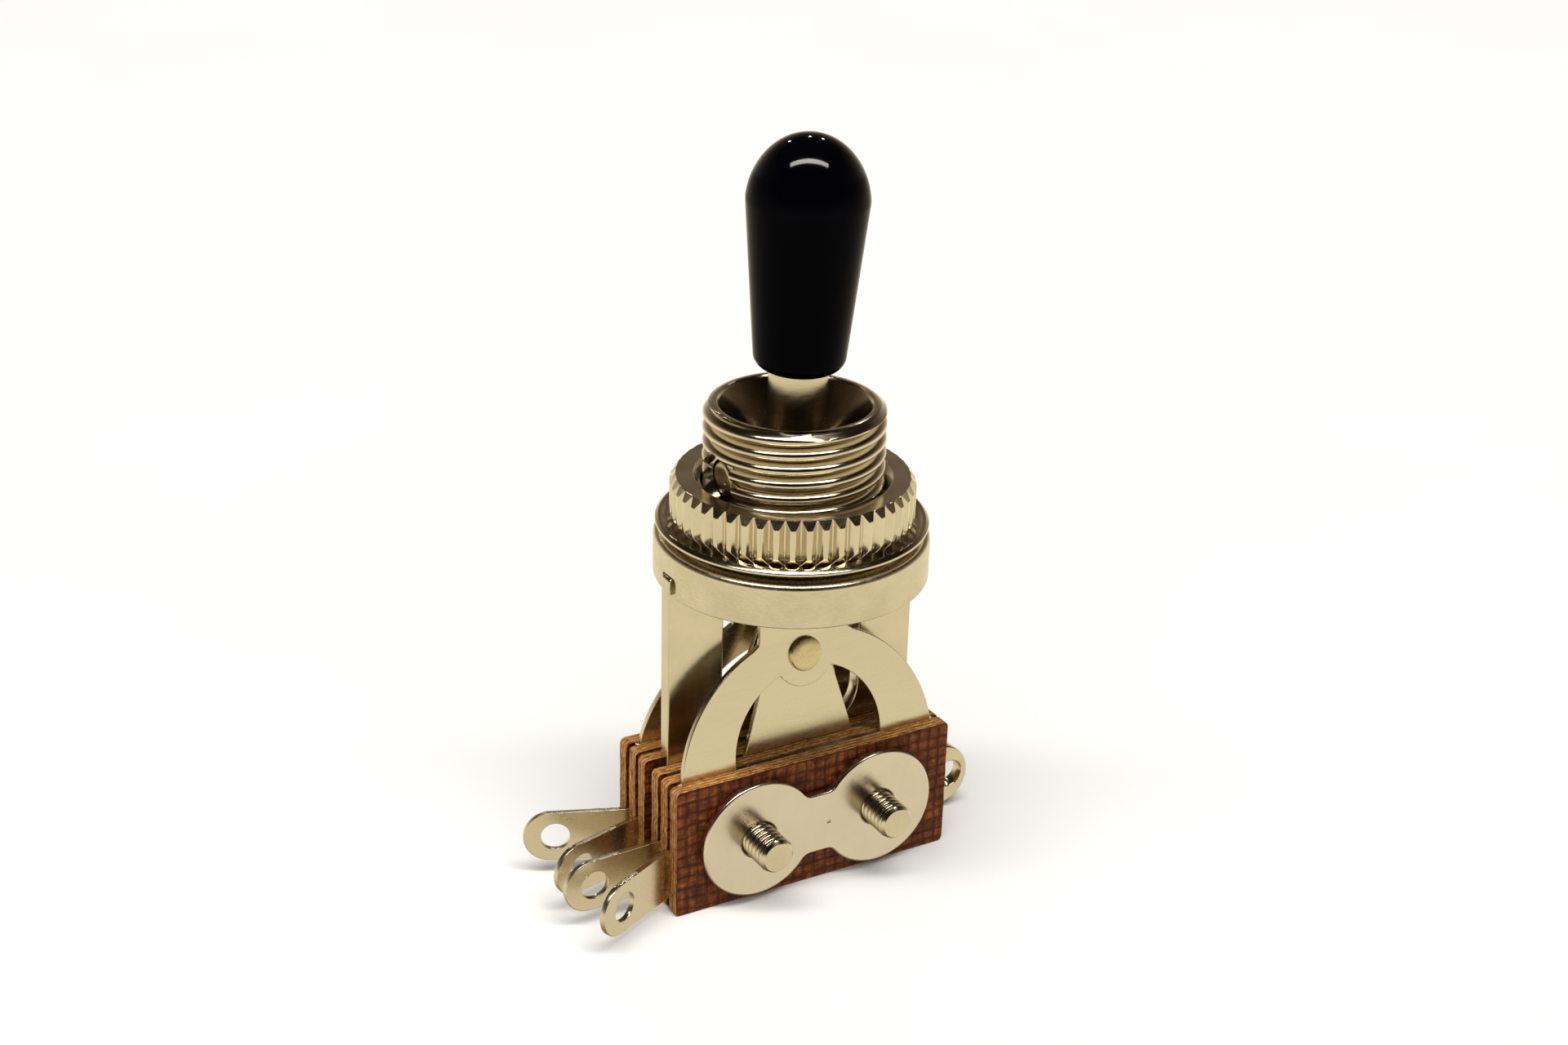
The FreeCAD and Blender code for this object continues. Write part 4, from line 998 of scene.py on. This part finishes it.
def make_world():
    """A warm room: bright at table height, brown above it and dark overhead, and dark on the camera's side.

    stops are (elevation in degrees, colour) pairs.
    """
    world = bpy.data.worlds.new("room")
    bpy.context.scene.world = world
    world.use_nodes = True
    tree = world.node_tree
    where = tree.nodes.new("ShaderNodeTexCoord")
    parts = tree.nodes.new("ShaderNodeSeparateXYZ")
    tree.links.new(where.outputs["Generated"], parts.inputs["Vector"])
    height = tree.nodes.new("ShaderNodeMapRange")
    height.inputs["From Min"].default_value = -1
    tree.links.new(parts.outputs["Z"], height.inputs["Value"])
    ramp = tree.nodes.new("ShaderNodeValToRGB")
    stops = [
        (-90, (0.16, 0.13, 0.10)), (-60, (0.30, 0.25, 0.19)), (-38, (0.72, 0.64, 0.50)),
        (-22, (0.88, 0.82, 0.605)), (-8, (0.88, 0.825, 0.63)), (1, (0.60, 0.53, 0.44)),
        (12, (0.32, 0.27, 0.21)), (23, (0.14, 0.108, 0.075)), (38, (0.022, 0.017, 0.013)), (90, (0.02, 0.016, 0.013)),
    ]
    while len(ramp.color_ramp.elements) < len(stops):
        ramp.color_ramp.elements.new(0.5)
    for element, (elevation, colour) in zip(ramp.color_ramp.elements, stops):
        element.position = (math.sin(math.radians(elevation)) + 1) / 2
        element.color = (*colour, 1)
    tree.links.new(height.outputs["Result"], ramp.inputs["Fac"])
    facing = tree.nodes.new("ShaderNodeVectorMath")
    facing.operation = "DOT_PRODUCT"
    facing.inputs[1].default_value = FRONT
    tree.links.new(where.outputs["Generated"], facing.inputs[0])
    above = tree.nodes.new("ShaderNodeMapRange")
    above.inputs["From Min"].default_value, above.inputs["From Max"].default_value = -0.05, 0.15
    tree.links.new(parts.outputs["Z"], above.inputs["Value"])
    front = tree.nodes.new("ShaderNodeMath")
    front.operation = "MULTIPLY"
    front.use_clamp = True
    tree.links.new(facing.outputs["Value"], front.inputs[0])
    tree.links.new(above.outputs["Result"], front.inputs[1])
    dim = tree.nodes.new("ShaderNodeMix")
    dim.data_type = "RGBA"
    dim.inputs[MIX_SECOND].default_value = (0.012, 0.010, 0.008, 1)
    tree.links.new(front.outputs[0], dim.inputs[MIX_FACTOR])
    tree.links.new(ramp.outputs["Color"], dim.inputs[MIX_FIRST])
    tree.links.new(dim.outputs[MIX_RESULT], tree.nodes["Background"].inputs["Color"])
    tree.nodes["Background"].inputs["Strength"].default_value = 1.0


def raised(level, elevation):
    """A level direction turned up by an elevation in degrees."""
    angle = math.radians(elevation)
    return level * math.cos(angle) + Vector((0, 0, math.sin(angle)))


def make_light(name, kind, towards, distance, **settings):
    """A light that faces the origin from a distance in millimetres."""
    data = bpy.data.lights.new(name, kind)
    for key, value in settings.items():
        setattr(data, key, value)
    light = bpy.data.objects.new(name, data)
    bpy.context.scene.collection.objects.link(light)
    direction = Vector(towards).normalized()
    light.location = direction * distance * MM
    light.rotation_mode = "QUATERNION"
    light.rotation_quaternion = direction.to_track_quat("Z", "Y")
    return light


def make_lights():
    """A softbox, an even light and three small windows.

    The metal mirrors the softbox, which is long and nearly overhead. The windows stand high behind the
    object. The even light is broad and shows in no reflection.
    """
    box = make_light(
        "softbox", "AREA", raised(FRONT, 76), 2000, shape="RECTANGLE", size=2.5, size_y=0.30, energy=26.0,
        color=(1.0, 0.95, 0.87)
    )
    direction = box.location.normalized()
    across = RIGHT - direction * RIGHT.dot(direction)
    across.normalize()
    upward = direction.cross(across)
    box.rotation_quaternion = Matrix((across, upward, direction)).transposed().to_quaternion()
    even = make_light(
        "even", "SUN", (-0.25, -0.35, 1.0), 500, energy=1.5, angle=math.radians(70), color=(0.925, 0.955, 1.0)
    )
    even.visible_glossy = False
    for name, aside, height in (("window_left", -15, 36), ("window_middle", 0, 37), ("window_right", 24, 35)):
        away = Matrix.Rotation(math.radians(aside), 3, "Z") @ -FRONT
        make_light(
            name, "AREA", raised(away, height), 2000, shape="DISK", size=0.07, energy=0.7,
            color=(1.0, 0.96, 0.9)
        )


def make_camera():
    """The photograph's view."""
    distance, aside = 161.6, -0.515
    data = bpy.data.cameras.new("camera")
    data.sensor_width = 36
    data.lens = 56.26875
    data.clip_start, data.clip_end = 0.005, 20
    camera = bpy.data.objects.new("camera", data)
    bpy.context.scene.collection.objects.link(camera)
    up = BACK.cross(RIGHT)
    right = RIGHT * math.cos(ROLL) + up * math.sin(ROLL)
    upward = up * math.cos(ROLL) - RIGHT * math.sin(ROLL)
    place = Matrix.Translation((RIGHT * aside + BACK * distance) * MM)
    camera.matrix_world = place @ Matrix((right, upward, BACK)).transposed().to_4x4()
    bpy.context.scene.camera = camera


make_floor()
make_world()
make_lights()
make_camera()
bpy.context.scene.view_settings.view_transform = "Standard"
bpy.context.scene.view_settings.look = "Medium High Contrast"
